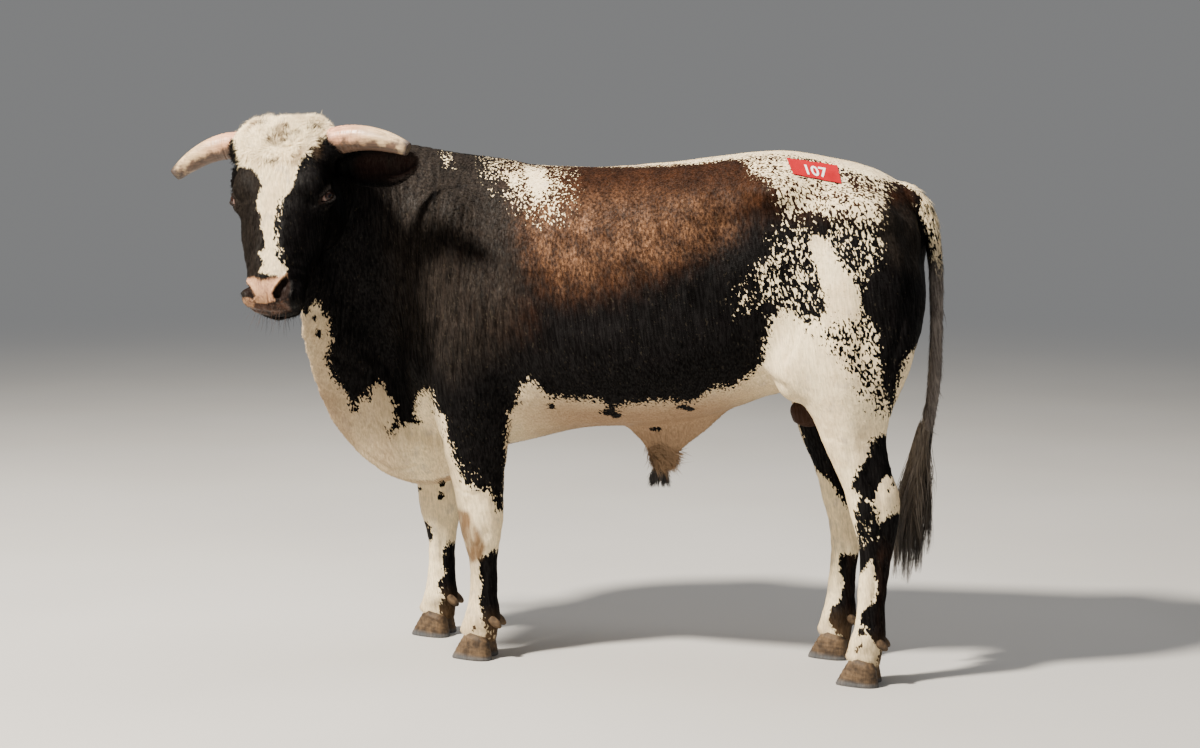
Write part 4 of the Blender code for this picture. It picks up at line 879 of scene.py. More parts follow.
LIP_SPOT = [(243, 298), (251, 298), (255, 303), (254, 308), (247, 306), (243, 302)]
BROWN_BACK = [(495, 150), (720, 145), (800, 150), (930, 196), (905, 214), (840, 216), (778, 214), (750, 224),
              (708, 254), (668, 278), (610, 298), (540, 302), (500, 240)]
BROWN_SHOULDER = [(425, 230), (520, 200), (560, 300), (540, 350), (470, 360), (425, 320)]
BLEACHED = [(515, 205), (600, 200), (690, 200), (738, 202), (728, 232), (690, 250), (620, 272), (560, 288),
            (528, 262)]
# Where painted sheen greys the black hair of the neck and the rump
NECK_SHEEN = [(395, 120), (470, 140), (515, 180), (520, 290), (505, 350), (450, 378), (400, 330),
             (380, 200)]
RUMP_SHEEN = [(880, 207), (905, 207), (925, 235), (917, 272), (895, 264), (882, 240)]
KNEE = [(456, 508), (468, 513), (477, 530), (485, 546), (481, 557), (470, 563), (461, 550), (456, 530)]


def painted(flat, layers, start=1.0):
    share = np.full(len(flat), start)
    for target, fade, outline in layers:
        low = np.min(outline, axis=0) - 2 * fade
        high = np.max(outline, axis=0) + 2 * fade
        near = ((flat > low) & (flat < high)).all(axis=1)
        inside = np.clip(0.5 + signed_distance(flat[near], outline) / (2 * fade), 0.0, 1.0)
        share[near] += (target - share[near]) * inside
    return share


def soft_area(flat, outline, fade):
    return rise(signed_distance(flat, outline), -fade, fade)


# Small dark spots: middle and radii in the photograph's pixels
SPOTS = [(551, 406, 4, 3), (608, 412, 8, 3), (616, 415, 5, 3), (683, 407, 7, 2.5), (690, 409, 4, 2),
         (655, 429, 7, 2), (442, 484, 4, 3), (441, 496, 3.5, 3), (424, 526, 3, 5), (430, 534, 3, 5),
         (420, 489, 3, 2), (861, 632, 3, 3), (860, 646, 3, 2), (857, 651, 2, 2), (846, 652, 2, 2),
         (826, 636, 2, 2), (820, 644, 2, 2), (325, 306, 4, 5), (306, 309, 3, 6), (314, 318, 2, 4),
         (318, 333, 3, 4), (478, 640, 3, 2), (474, 628, 2, 2), (470, 636, 2, 2), (808, 322, 2, 3),
         (812, 336, 2, 2), (806, 330, 2, 2), (893, 484, 2, 2), (889, 490, 2, 1.5), (888, 470, 3, 2)]
# Shaded curls of the poll, in the same way
CURLS = [(285, 134, 10, 6), (277, 141, 8, 5), (310, 130, 9, 4), (262, 126, 7, 3), (272, 158, 7, 3)]
RIGHT_SIDE_SHIFT = np.array((0.045, 0.0, 0.012))


LEG_LAYERS = {"hind_left": (HIND_LEFT_LAYERS, 0.70, 0.68), "fore_left": (FORE_LEFT_LAYERS, 0.62, 0.54),
              "hind_right": (HIND_RIGHT_LAYERS, 0.72, 0.66), "fore_right": (FORE_RIGHT_LAYERS, 0.62, 0.54)}
FAR_KNEE = np.array((-0.655, 0.115, 0.36))
TAIL_LINE = [(0.700, 1.290), (0.742, 1.274), (0.782, 1.222), (0.803, 1.135), (0.812, 1.000), (0.812, 0.880),
             (0.804, 0.740), (0.790, 0.640)]
SCROTUM_MIDDLE = np.array((0.475, 0.0, 0.705))
SCROTUM_RADII = np.array((0.066, 0.058, 0.078))


def tail_share(places):
    """One on the tail, fading out where it leaves the rump."""
    far = line_distance(places[:, [0, 2]], TAIL_LINE)
    return rise(far, 0.040, 0.030) * (np.abs(places[:, 1]) < 0.045) * rise(places[:, 0], 0.745, 0.775)


def tail_middle(heights):
    """How far back the middle of the tail is at each height."""
    line = TAIL_LINE[::-1]
    return np.interp(heights, [z for _, z in line], [x for x, _ in line])


def scrotum_share(places):
    return rise(np.linalg.norm((places - SCROTUM_MIDDLE) / SCROTUM_RADII, axis=1), 1.25, 1.0)


def ellipse_reach(flat, spot):
    """Distance from the middle of a spot, in its radii."""
    x, y, wide, tall = spot
    return np.hypot((flat[:, 0] - x) / wide, (flat[:, 1] - y) / tall)


class Site:
    """What the markings ask about each place on the skin."""

    def __init__(self, places):
        self.places = places
        self.x, self.y, self.z = places.T
        self.side, self.down, self.out = head_parts(places)
        self.on_head = near_head(places, 0.02)
        self.leg = leg_of(places)
        self.tail = tail_share(places)
        self.ear = near_ear(places)
        self.right = rise(self.y, -0.025, 0.025) * rise(self.x, -0.66, -0.56) * ~self.on_head
        self.direct = pixels(places)
        self.mirrored = pixels(places * MIRROR + RIGHT_SIDE_SHIFT * rise(self.z, 0.70, 0.85)[:, None])

    def either(self, paint):
        """What is painted on the left side, with its mirror image on the right."""
        return paint(self.direct) * (1 - self.right) + paint(self.mirrored) * self.right

    def area(self, outline, fade):
        return self.either(lambda flat: soft_area(flat, outline, fade))


def white_hair(site):
    white = site.either(lambda flat: painted(flat, COAT_LAYERS))
    for name, (layers, high, low) in LEG_LAYERS.items():
        mine = np.flatnonzero(site.leg == name)
        start = white[mine] if name.endswith("left") else 1.0
        shade = painted(site.direct[mine], layers, start)
        white[mine] += (shade - white[mine]) * rise(site.z[mine], high, low)
    white = np.where(site.on_head, painted(site.direct, HEAD_LAYERS, 0.0), white)
    throat = site.on_head & (site.out < -0.16) & (site.down > 0.33)
    white = np.where(throat, painted(site.direct, COAT_LAYERS[:1]), white)
    seen = rise(site.out, -0.105, -0.075) + (site.down < 0.075) * rise(site.out, -0.17, -0.13)
    white = np.where(site.on_head & ~throat, white * np.minimum(seen, 1.0), white)
    white = white * (1 - site.ear)
    outer = np.interp(site.z, (0.9, 1.06, 1.14, 1.24, 1.32), (0.0, 0.15, 0.50, 0.66, 0.85))
    outer = outer * rise(site.x - tail_middle(site.z), -0.012, 0.006)
    white = white * (1 - site.tail) + site.tail * outer
    for spot in SPOTS:
        white = white * (1 - rise(ellipse_reach(site.direct, spot), 1.5, 0.6) * (site.y < 0.25))
    return white * (1 - scrotum_share(site.places))


def brown_hair(site):
    brown = np.maximum(site.area(BROWN_BACK, 42.0), 0.45 * site.area(BROWN_SHOULDER, 30.0))
    brown = brown * (1 - site.tail) * ~site.on_head
    for name in ("hind_left", "hind_right"):
        behind = rise(site.x - FEET[name][0], 0.020, 0.055) * (site.leg == name)
        brown = np.maximum(brown, 0.42 * behind * rise(site.z, 0.46, 0.36) * rise(site.z, 0.06, 0.12))
    return brown


def painted_sheen_grey(site):
    # Painted sheen on the neck, the rump and the far side of the face
    painted_sheen = np.maximum(site.area(NECK_SHEEN, 24.0), 1.5 * site.area(RUMP_SHEEN, 12.0))
    far_face = (site.side < -0.02) * rise(site.out, -0.15, -0.10) * rise(site.down, 0.10, 0.16)
    return np.maximum(painted_sheen * ~site.on_head * (1 - site.tail), far_face * site.on_head)


def bare_skin(site):
    """The muzzle's pad, the lips and lids, the painted shade inside the nostrils, and the dark skin round
    the eyes.
    """
    on_muzzle = site.on_head * (site.down > 0.40) * (site.out > -0.2)
    pad = np.maximum(soft_area(site.direct, PAD, 1.0), 0.85 * soft_area(site.direct, LIP_SPOT, 1.5))
    pad = pad * on_muzzle
    lip = soft_area(site.direct, LIP, 2.0) * on_muzzle
    lids = np.zeros(len(site.places))
    for _, sign in SIDES:
        centre, toward, brow, _ = eye_frame(sign)
        offset = site.places - centre
        opening = eye_opening(offset @ toward, offset @ brow)
        rim = (1 - rise(opening, 1.25, 1.75)) * (np.linalg.norm(offset, axis=1) < 0.04)
        lids = np.maximum(lids, rim)
        lip = np.maximum(lip, 0.5 * rim * rise(offset @ toward, 0.014, 0.022))
    # Painted shade inside the nostrils, and the dark skin of the lid rims
    hollow = np.maximum(rise(inside_nostril(site.places), -0.0035, 0.0015), 0.6 * lids * (1 - lip))
    pad = pad * (1 - hollow)
    return pad, lip * (1 - hollow) * (1 - pad), hollow


def dust_and_poll_shade(site):
    """Dirt on the knees, the feet and the tail, and painted shade in the curls of the poll."""
    knee = 1.4 * soft_area(site.direct, KNEE, 4.0) * (site.leg == "fore_left")
    knee = np.maximum(knee, 0.7 * hump(np.linalg.norm(site.places - FAR_KNEE, axis=1), 0.04))
    feet = 0.5 * rise(site.z, 0.16, 0.04)
    tail = 0.55 * site.tail * rise(site.z, 1.02, 0.84)
    # Painted shade among the curls of the poll
    crown = site.on_head * rise(site.down, 0.16, 0.10) * (1 - rise(np.abs(site.side), 0.07, 0.11))
    crown = crown * rise(ripple(site.places * np.array((1.0, 1.0, 0.6)), 0.06, 41), 0.0, 0.9)
    return np.clip(knee + feet + 0.85 * crown + tail, 0, 1)


def curl_shade(site):
    """Spiral arms of shade in the curls of the poll."""
    curl = np.zeros(len(site.places))
    for spot in CURLS:
        reach = ellipse_reach(site.direct, spot)
        turn = np.arctan2(site.direct[:, 1] - spot[1], site.direct[:, 0] - spot[0])
        arms = np.sin(2 * turn + 6.0 * reach + 0.4 * spot[0])
        curl = np.maximum(curl, rise(reach, 1.5, 0.7) * rise(arms, -0.5, 0.4) * site.on_head)
    return curl


def underside_tan_and_shade(site):
    """Tan on the belly between the legs and down the front of the chest, partly painted shade of the
    underside.
    """
    underside_tan_shade = rise(site.z, 0.88, 0.70) * rise(site.z, 0.40, 0.50) * rise(np.abs(site.y), 0.34, 0.16)
    for foot_x, _ in FEET.values():
        thigh = hump(site.x - foot_x, 0.17) * rise(site.z, 0.92, 0.74) * (np.abs(site.y) > 0.02)
        underside_tan_shade = underside_tan_shade * (1 - thigh)
    # The chest's tan is half painted shade
    chest = 0.55 * rise(site.x, -0.60, -0.70) * rise(site.z, 1.10, 0.90) * (site.leg == "") * ~site.on_head
    return np.clip(np.maximum(underside_tan_shade, chest), 0, 1)


def markings(places):
    """The share of white hair and the other qualities of the coat at each place."""
    site = Site(places)
    pad, lip, hollow = bare_skin(site)
    return {"white": white_hair(site), "brown": brown_hair(site),
            "bleach": site.area(BLEACHED, 24.0) * (1 - site.tail), "painted_sheen": painted_sheen_grey(site),
            "pad": pad, "lip": lip, "hollow": hollow, "dust_and_shade": dust_and_poll_shade(site), "sac": scrotum_share(places),
            "stem": site.tail * rise(site.z, 1.16, 1.05), "underside_tan_shade": underside_tan_and_shade(site),
            "wrinkle": wrinkled(places), "ear": site.ear * rise(np.abs(ear_across(places)), 0.90, 0.55),
            "curl": curl_shade(site)}


# Charts: the skin is unrolled piece by piece, each round its own axis

# Numbers of the charts: a leg adds its place in FEET, an ear adds 2 for the right and 1 for its back
BODY, HEAD, LEG, NECK, TAIL, EAR, SCROTUM = 0, 1, 2, 6, 7, 8, 12
# The radius at which each chart is unrolled; the ears are laid flat
CHART_RADIUS = {BODY: 0.30, HEAD: 0.12, NECK: 0.25, TAIL: 0.02, SCROTUM: 0.05,
                **{LEG + i: 0.06 for i in range(len(FEET))}}


def chart_of(places, normals):
    """The number of the chart that each point lies on."""
    chart = np.full(len(places), BODY)
    names = leg_of(places)
    for i, name in enumerate(FEET):
        chart[names == name] = LEG + i
    chart[(along_neck(places) > 0.08) & (chart == BODY)] = NECK
    chart[near_head(places, 0.01)] = HEAD
    chart[tail_share(places) > 0.5] = TAIL
    chart[scrotum_share(places) > 0.5] = SCROTUM
    for i, (ear_side, sign) in enumerate(SIDES):
        mine = (near_ear(places) > 0.5) & (np.sign(head_parts(places)[0]) == sign)
        inner = normals @ ear_axes(ear_side)[2] > 0
        chart[mine & inner] = EAR + 2 * i
        chart[mine & ~inner] = EAR + 2 * i + 1
    return chart


def unroll(places, chart):
    """Places of points on the chart with one number, in metres round its axis and along it."""
    x, y, z = places.T
    if EAR <= chart < SCROTUM:
        ear_side, sign = SIDES[(chart - EAR) // 2]
        along, across, _ = ear_axes(ear_side)
        offset = places - twin_point(sign, EAR_ROOT)
        return np.stack((offset @ across, offset @ along), axis=1)
    if chart == BODY:
        angle, length = np.arctan2(y, z - 1.0), x
    elif chart == HEAD:
        side, length, out = head_parts(places)
        angle = np.arctan2(side, out + 0.11)
    elif chart == NECK:
        angle, length = np.arctan2(x * 0.6 + y + 0.75, z - 1.08), along_neck(places)
    elif chart == TAIL:
        angle, length = np.arctan2(y, x - tail_middle(z)), z
    elif chart == SCROTUM:
        angle, length = np.arctan2(y, x - SCROTUM_MIDDLE[0]), z
    else:
        foot, (foot_x, foot_y) = list(FEET.items())[chart - LEG]
        lean = 0.01
        if foot.startswith("hind"):
            lean = np.interp(z, (0.0, 0.1, 0.45, 0.7), (0.0, 0.01, 0.03, 0.0))
        angle, length = np.arctan2(x - foot_x - lean, (y - foot_y) * -np.sign(foot_y)), z
    return np.stack((angle * CHART_RADIUS[chart], length), axis=1)


# The low corner of each chart's box on the map, and the map's width of a metre
CHART_SCALE = 0.40
CHART_AT = {0: (0.010, 0.010), 1: (0.800, 0.010), 2: (0.800, 0.280), 3: (0.800, 0.580), 4: (0.020, 0.800),
            5: (0.280, 0.800), 6: (0.500, 0.760), 7: (0.965, 0.010), 8: (0.640, 0.880), 9: (0.690, 0.880),
            10: (0.740, 0.880), 11: (0.790, 0.880), 12: (0.900, 0.880)}


def corner_map(places, normals, corners, starts, totals):
    """The map's place of each face corner, with each face kept whole on one chart."""
    chart = chart_of(places, normals)
    face_chart = chart[corners[starts]]
    corner_chart = np.repeat(face_chart, totals)
    first = np.repeat(corners[starts], totals)
    result = np.zeros((len(corners), 2))
    for number, at in CHART_AT.items():
        mine = corner_chart == number
        if not mine.any():
            continue
        spot = unroll(places[corners[mine]], number)
        anchor = unroll(places[first[mine]], number)
        turn = 2 * math.pi * CHART_RADIUS.get(number, 0.0)
        if turn > 0:
            spot[:, 0] -= np.round((spot[:, 0] - anchor[:, 0]) / turn) * turn
        spot -= np.array((spot[:, 0].min(), spot[:, 1].min()))
        result[mine] = np.array(at) + spot * CHART_SCALE
    return np.clip(result, 0.001, 0.999)


def mesh_corners(mesh):
    corners = np.empty(len(mesh.loops), dtype=np.int64)
    starts = np.empty(len(mesh.polygons), dtype=np.int64)
    totals = np.empty(len(mesh.polygons), dtype=np.int64)
    mesh.loops.foreach_get("vertex_index", corners)
    mesh.polygons.foreach_get("loop_start", starts)
    mesh.polygons.foreach_get("loop_total", totals)
    return corners, starts, totals


def set_map(mesh, spots):
    layer = mesh.uv_layers.new(name="OFBake")
    layer.data.foreach_set("uv", np.asarray(spots, dtype=np.float32).ravel())


# The coat

# The way the hair lies on the neck, the legs and the tail
NECK_WAY = np.array((0.15, 0.75, -0.6))
LEG_WAY = np.array((0.15, 0.0, -1.0))
TAIL_WAY = np.array((0.1, 0.0, -1.0))


def blend(a, b, share):
    """From a where the share is 0 to b where it is 1, row by row."""
    return a + (b - a) * np.asarray(share)[:, None]


def hair_way(places, normals):
    """The way the hair lies at each place, along the skin."""
    z = places[:, 2]
    side, down, _ = head_parts(places)
    way = np.stack((np.full(len(z), 0.8), np.zeros(len(z)), -0.25 - 0.7 * rise(z, 1.25, 0.8)), axis=1)
    way = blend(way, NECK_WAY, rise(along_neck(places), 0.05, 0.45))
    way = blend(way, LEG_WAY, rise(z, 0.68, 0.55) * (leg_of(places) != ""))
    way = blend(way, TAIL_WAY, tail_share(places))
    face = DOWN * 0.9 - OUT * 0.15 + SIDE * (side / 0.12)[:, None] * 0.55
    crown = DOWN * -0.55 - OUT * 0.45 + SIDE * (side / 0.08)[:, None] * 0.55
    way = np.where(near_head(places, 0.01)[:, None], blend(face, crown, rise(down, 0.13, 0.05)), way)
    for ear_side, sign in SIDES:
        way = blend(way, ear_axes(ear_side)[0], near_ear(places) * (np.sign(side) == sign))
    way = way - normals * (way * normals).sum(axis=1)[:, None]
    return way / np.maximum(np.linalg.norm(way, axis=1), 1e-6)[:, None]


class Hide:
    """The finished skin, ready for hair to be rooted on it."""

    def __init__(self, skin):
        mesh = skin.data
        mesh.calc_loop_triangles()
        count = len(mesh.loop_triangles)
        corner = np.empty(count * 3, dtype=np.int64)
        loop = np.empty(count * 3, dtype=np.int64)
        mesh.loop_triangles.foreach_get("vertices", corner)
        mesh.loop_triangles.foreach_get("loops", loop)
        self.corner = corner.reshape(-1, 3)
        self.loop = loop.reshape(-1, 3)
        self.places = read_places(mesh) - SHIFT
        self.normals = read_places(mesh, "normal")
        self.values = {}
        for name in COAT_VALUES:
            values = np.empty(len(mesh.vertices), dtype=np.float32)
            mesh.attributes[name].data.foreach_get("value", values)
            self.values[name] = values
        spots = np.empty(len(mesh.loops) * 2, dtype=np.float32)
        mesh.uv_layers["OFBake"].data.foreach_get("uv", spots)
        self.spots = spots.reshape(-1, 2)
        a, b, c = (self.places[self.corner[:, i]] for i in range(3))
        self.area = np.linalg.norm(np.cross(b - a, c - a), axis=1) / 2

    def roots(self, count, density, draw):
        """Random roots, spread by a density given for each vertex."""
        weight = self.area * density[self.corner].mean(axis=1)
        total = np.cumsum(weight)
        pick = np.searchsorted(total, (np.arange(count) + draw.random(count)) / count * total[-1])
        pick = np.minimum(pick, len(total) - 1)
        u, v = draw.random(count), draw.random(count)
        flip = u + v > 1
        u, v = np.where(flip, 1 - u, u), np.where(flip, 1 - v, v)
        share = np.stack((1 - u - v, u, v), axis=1)
        corner = self.corner[pick]
        values = {name: (column[corner] * share).sum(axis=1) for name, column in self.values.items()}
        share = share[..., None]
        return {"place": (self.places[corner] * share).sum(axis=1),
                "normal": unit((self.normals[corner] * share).sum(axis=1)),
                "spot": (self.spots[self.loop[pick]] * share).sum(axis=1), "values": values}


COAT_VALUES = ("white", "brown", "bleach", "painted_sheen", "pad", "lip", "hollow", "stem", "dust_and_shade", "sac", "underside_tan_shade",
               "wrinkle", "ear", "curl")
# Each hair takes a small patch of the map about its root; a tuft is a quad and a triangle
PATCH = 0.003
FREE_SPOT = 0.97                       # where on the map the strands that are rooted on no skin lie
TUFT_FACES = ((0, 1, 2, 3), (3, 2, 4))
TUFT_PATCH = np.array(((0, 0), (1, 0), (0.9, 0.5), (0.1, 0.5), (0.5, 1)))


def carry_values(mesh, roots, points):
    """Gives all the points of each hair the coat's values at its root."""
    for name, values in roots["values"].items():
        add_value(mesh, name, np.repeat(values, points))


def tuft_object(name, roots, way, length, width, lift, draw, curl):
    """Flat tufts of three triangles, each rooted under the skin and rising a little to its tip."""
    count = len(length)
    normal = roots["normal"]
    way = unit(way + np.cross(normal, way) * draw.normal(0, curl, count)[:, None])
    across = unit(np.cross(normal, way))
    half = across * (width / 2)[:, None]
    root = roots["place"] - normal * 0.0008
    middle = root + way * (length * 0.5)[:, None] + normal * (length * lift * 0.65 + 0.0009)[:, None]
    tip = root + way * length[:, None] + normal * (length * lift + 0.0004)[:, None]
    tip = tip + across * (draw.normal(0, 0.10, count) * length)[:, None]
    places = np.stack((root - half, root + half, middle + half * 0.85, middle - half * 0.85, tip), axis=1)
    base = np.arange(count)[:, None] * len(TUFT_PATCH)
    thing = mesh_from(name, places.reshape(-1, 3), [base + np.array(corners) for corners in TUFT_FACES])
    carry_values(thing.data, roots, len(TUFT_PATCH))
    spots = [(roots["spot"][:, None, :] + TUFT_PATCH[list(corners)] * PATCH).reshape(-1, 2)
             for corners in TUFT_FACES]
    set_map(thing.data, np.clip(np.concatenate(spots), 0.0, 1.0))
    return thing


def strand_object(name, paths, across, widths, roots):
    """Ribbons along paths, tapering to their tips; paths has one row of points for each ribbon."""
    count, steps, _ = paths.shape
    taper = np.interp(np.linspace(0, 1, steps), (0.0, 0.15, 0.7, 1.0), (0.7, 1.0, 0.75, 0.06))
    half = across[:, None, :] * (widths[:, None] * taper[None, :] / 2)[..., None]
    places = np.stack((paths - half, paths + half), axis=2).reshape(-1, 3)
    k = np.arange(steps - 1)
    quads = np.stack((2 * k, 2 * k + 1, 2 * k + 3, 2 * k + 2), axis=1)
    faces = (np.arange(count)[:, None, None] * (2 * steps) + quads[None]).reshape(-1, 4)
    thing = mesh_from(name, places, [faces])
    carry_values(thing.data, roots, 2 * steps)
    share = np.stack((np.tile((0.0, 1.0), steps), np.repeat(np.linspace(0, 1, steps), 2)), axis=1)
    spots = roots["spot"][:, None, None, :] + share[quads][None] * PATCH
    set_map(thing.data, np.clip(spots.reshape(-1, 2), 0.0, 1.0))
    return thing


# Materials

class Graph:
    """A small helper to wire a material's nodes."""

    def __init__(self, name):
        self.material = bpy.data.materials.new(name)
        self.material.use_nodes = True
        self.tree = self.material.node_tree
        self.shader = self.tree.nodes["Principled BSDF"]
        self.links = self.tree.links

    def node(self, kind, **settings):
        node = self.tree.nodes.new(kind)
        for key, value in settings.items():
            setattr(node, key, value)
        return node

    def put(self, socket, value):
        if isinstance(value, bpy.types.NodeSocket):
            self.links.new(value, socket)
        elif isinstance(value, tuple) and len(value) == 3 and socket.type == "RGBA":
            socket.default_value = (*value, 1.0)
        else:
            socket.default_value = value

    def math(self, operation, *values):
        node = self.node("ShaderNodeMath", operation=operation)
        for socket, value in zip(node.inputs, values):
            self.put(socket, value)
        return node.outputs[0]

    def times(self, a, b):
        return self.math("MULTIPLY", a, b)

    def plus(self, a, b):
        return self.math("ADD", a, b)

    def minus(self, a, b):
        return self.math("SUBTRACT", a, b)

    def value(self, name):
        return self.node("ShaderNodeAttribute", attribute_name=name).outputs["Fac"]

    def where(self, scale=(1.0, 1.0, 1.0), lean=0.0):
        """Object coordinates, leaned about Y and then scaled."""
        spot = self.node("ShaderNodeTexCoord").outputs["Object"]
        for key, value in (("Rotation", (0.0, lean, 0.0)), ("Scale", scale)):
            node = self.node("ShaderNodeMapping")
            self.put(node.inputs["Vector"], spot)
            node.inputs[key].default_value = value
            spot = node.outputs[0]
        return spot

    def noise(self, at, scale, detail=2.0, rough=0.5, distort=0.0):
        node = self.node("ShaderNodeTexNoise")
        self.put(node.inputs["Vector"], at)
        settings = {"Scale": scale, "Detail": detail, "Roughness": rough, "Distortion": distort}
        for key, value in settings.items():
            node.inputs[key].default_value = value
        return node.outputs["Fac"]

    def ramp(self, value, low, high, out_low=0.0, out_high=1.0):
        node = self.node("ShaderNodeMapRange", interpolation_type="SMOOTHSTEP")
        for key, item in (("Value", value), ("From Min", low), ("From Max", high), ("To Min", out_low),
                          ("To Max", out_high)):
            self.put(node.inputs[key], item)
        return node.outputs[0]

    def mix(self, share, a, b, blend="MIX"):
        node = self.node("ShaderNodeMix", data_type="RGBA", blend_type=blend)
        self.put(node.inputs[0], share)
        self.put(node.inputs[6], a)
        self.put(node.inputs[7], b)
        return node.outputs[2]

    def shade(self, colour, share):
        return self.mix(1.0, colour, share, "MULTIPLY")

    def bump(self, height, distance, strength=1.0, under=None):
        node = self.node("ShaderNodeBump")
        self.put(node.inputs["Height"], height)
        node.inputs["Distance"].default_value = distance
        node.inputs["Strength"].default_value = strength
        if under is not None:
            self.put(node.inputs["Normal"], under)
        return node.outputs[0]

    def finish(self, **sockets):
        for key, value in sockets.items():
            self.put(self.shader.inputs[key.replace("_", " ")], value)
        return self.material


CREAM = (0.88, 0.735, 0.475)
CREAM_DEEP = (0.68, 0.48, 0.28)
# Tan of the belly and chest, darkened partly as painted shade of the underside
TAN_AND_UNDER_SHADE = (0.27, 0.165, 0.095)
SMOKE = (0.42, 0.37, 0.32)
BLACK_COAT = (0.0030, 0.0025, 0.0026)
BROWN_COAT = (0.0260, 0.0098, 0.0042)
TAN_STREAK = (0.138, 0.070, 0.036)
# Grey of painted sheen on black hair
SHEEN_GREY = (0.0148, 0.0115, 0.0093)
# Tan dust, and painted shade in the poll's curls
DUST_AND_SHADE = (0.235, 0.145, 0.078)
CURL_SHADE = (0.050, 0.029, 0.016)
PAD_PINK = (0.52, 0.290, 0.160)
PAD_DARK = (0.33, 0.18, 0.12)
# Lip skin, darkened partly as painted shade under the muzzle
LIP_SKIN_AND_SHADE = (0.070, 0.036, 0.024)
# Painted shade inside the nostrils; also the dark skin of the lid rims
NOSTRIL_SHADE_AND_LID_DARK = (0.010, 0.006, 0.005)
SAC_SKIN = (0.036, 0.019, 0.013)
EAR_SKIN = (0.016, 0.0075, 0.0055)
TAIL_GREY = ((0.105, 0.090, 0.082), (0.27, 0.235, 0.21))
LIP_DARK = (0.016, 0.010, 0.008)
HORN_COLOURS = ((0.66, 0.31, 0.175), (0.56, 0.39, 0.215))      # at the root and farther out
HORN_BELOW = (0.12, 0.066, 0.040)
HORN_TIP = (0.055, 0.038, 0.030)
HOOF_COLOURS = ((0.042, 0.027, 0.016), (0.125, 0.080, 0.044))
HOOF_DUST = (0.085, 0.092, 0.100)
IRIS_COLOURS = ((0.010, 0.004, 0.003), (0.032, 0.013, 0.007))
PUPIL_COLOUR = (0.002, 0.002, 0.004)
WHITE_OF_EYE = ((0.20, 0.13, 0.11), (0.11, 0.050, 0.040))
IRIS_RIM = (0.006, 0.004, 0.004)
PAPER_RED = ((0.34, 0.0010, 0.0075), (0.28, 0.001, 0.006))
INK_WHITE = (0.80, 0.78, 0.76)
FLOOR_GREY = ((0.44, 0.43, 0.415), (0.47, 0.46, 0.445))
BRUSH_HAIR = ((0.055, 0.038, 0.025), (0.20, 0.155, 0.110))
DARK_HAIR = ((0.012, 0.010, 0.010), (0.035, 0.026, 0.022))
LASH_HAIR = ((0.008, 0.006, 0.006), (0.02, 0.014, 0.012))
BACKGROUND = (0.90, 0.91, 0.92)
BACKGROUND_STRENGTH = 0.24


# The coat's noises: stretch along Z, lean in degrees, scale, detail, roughness, distortion
COAT_NOISES = {
    "flecks": (0.52, 20, 158.0, 1.5, 0.5, 0.3),
    "clusters": (1.0, 0, 27.0, 2.0, 0.5, 0.0),
    "streak": (0.07, 8, 230.0, 2.0, 0.6, 0.0),
    "broad": (0.30, 0, 38.0, 3.0, 0.6, 0.0),
    "blotch": (0.45, 0, 11.0, 3.0, 0.6, 0.0),
    "runs": (0.34, 6, 48.0, 4.0, 0.68, 0.0),
    "grain": (0.45, 15, 150.0, 3.0, 0.70, 0.0),
    "cloud": (0.60, 0, 22.0, 3.0, 0.6, 0.0),
    "lines": (0.055, -3, 62.0, 1.0, 0.4, 0.0),
    "fine": (0.12, 0, 420.0, 1.0, 0.5, 0.0),
}
PEBBLE_SCALE = 330.0


class CoatGraph(Graph):
    """The coat's nodes, with each of its noises under its own name."""

    def __init__(self, name):
        super().__init__(name)
        for key, (stretch, lean, *settings) in COAT_NOISES.items():
            setattr(self, key, self.noise(self.where((1.0, 1.0, stretch), math.radians(lean)), *settings))


def pale_share(g):
    """Where the hair is pale: the more white a place has, the more of its flecks are."""
    spread = g.math("MULTIPLY_ADD", g.minus(g.flecks, 0.5), 2.5, 0.5)
    spread = g.plus(spread, g.times(g.minus(g.clusters, 0.5), 0.65))
    spread = g.math("MINIMUM", g.math("MAXIMUM", spread, 0.03), 0.97)
    return g.ramp(g.minus(g.plus(spread, g.value("white")), 1.0), -0.035, 0.035)


def dark_coat(g):
    """Black hair, brown and bleached on the back, grey with painted sheen in places, and painted shade in
    the lines where the hide wrinkles.
    """
    brown = g.plus(g.value("brown"), g.times(g.minus(g.runs, 0.5), 0.9))
    brown = g.times(g.ramp(brown, 0.05, 1.15), g.ramp(g.value("brown"), 0.0, 0.60))
    dark = g.mix(brown, BLACK_COAT, BROWN_COAT)
    tan = g.times(g.ramp(g.grain, 0.34, 0.70, 0.10, 0.88), g.ramp(g.cloud, 0.32, 0.68, 0.30, 1.0))
    dark = g.mix(g.times(g.value("bleach"), tan), dark, TAN_STREAK)
    # Painted sheen: grey laid over the black hair
    dark = g.mix(g.times(g.value("painted_sheen"), g.ramp(g.broad, 0.2, 0.7, 0.6, 1.0)), dark, SHEEN_GREY)
    mottle = g.times(g.ramp(g.grain, 0.30, 0.70, 0.62, 1.42), g.ramp(g.runs, 0.32, 0.68, 0.80, 1.20))
    dark = g.shade(g.shade(dark, mottle), g.ramp(g.cloud, 0.34, 0.66, 0.76, 1.16))
    # Painted shade in the fine lines of the neck's wrinkles
    lines = g.ramp(g.math("ABSOLUTE", g.minus(g.lines, 0.5)), 0.0, 0.055, 0.42, 1.0)
    return g.mix(g.value("wrinkle"), dark, g.shade(dark, lines))


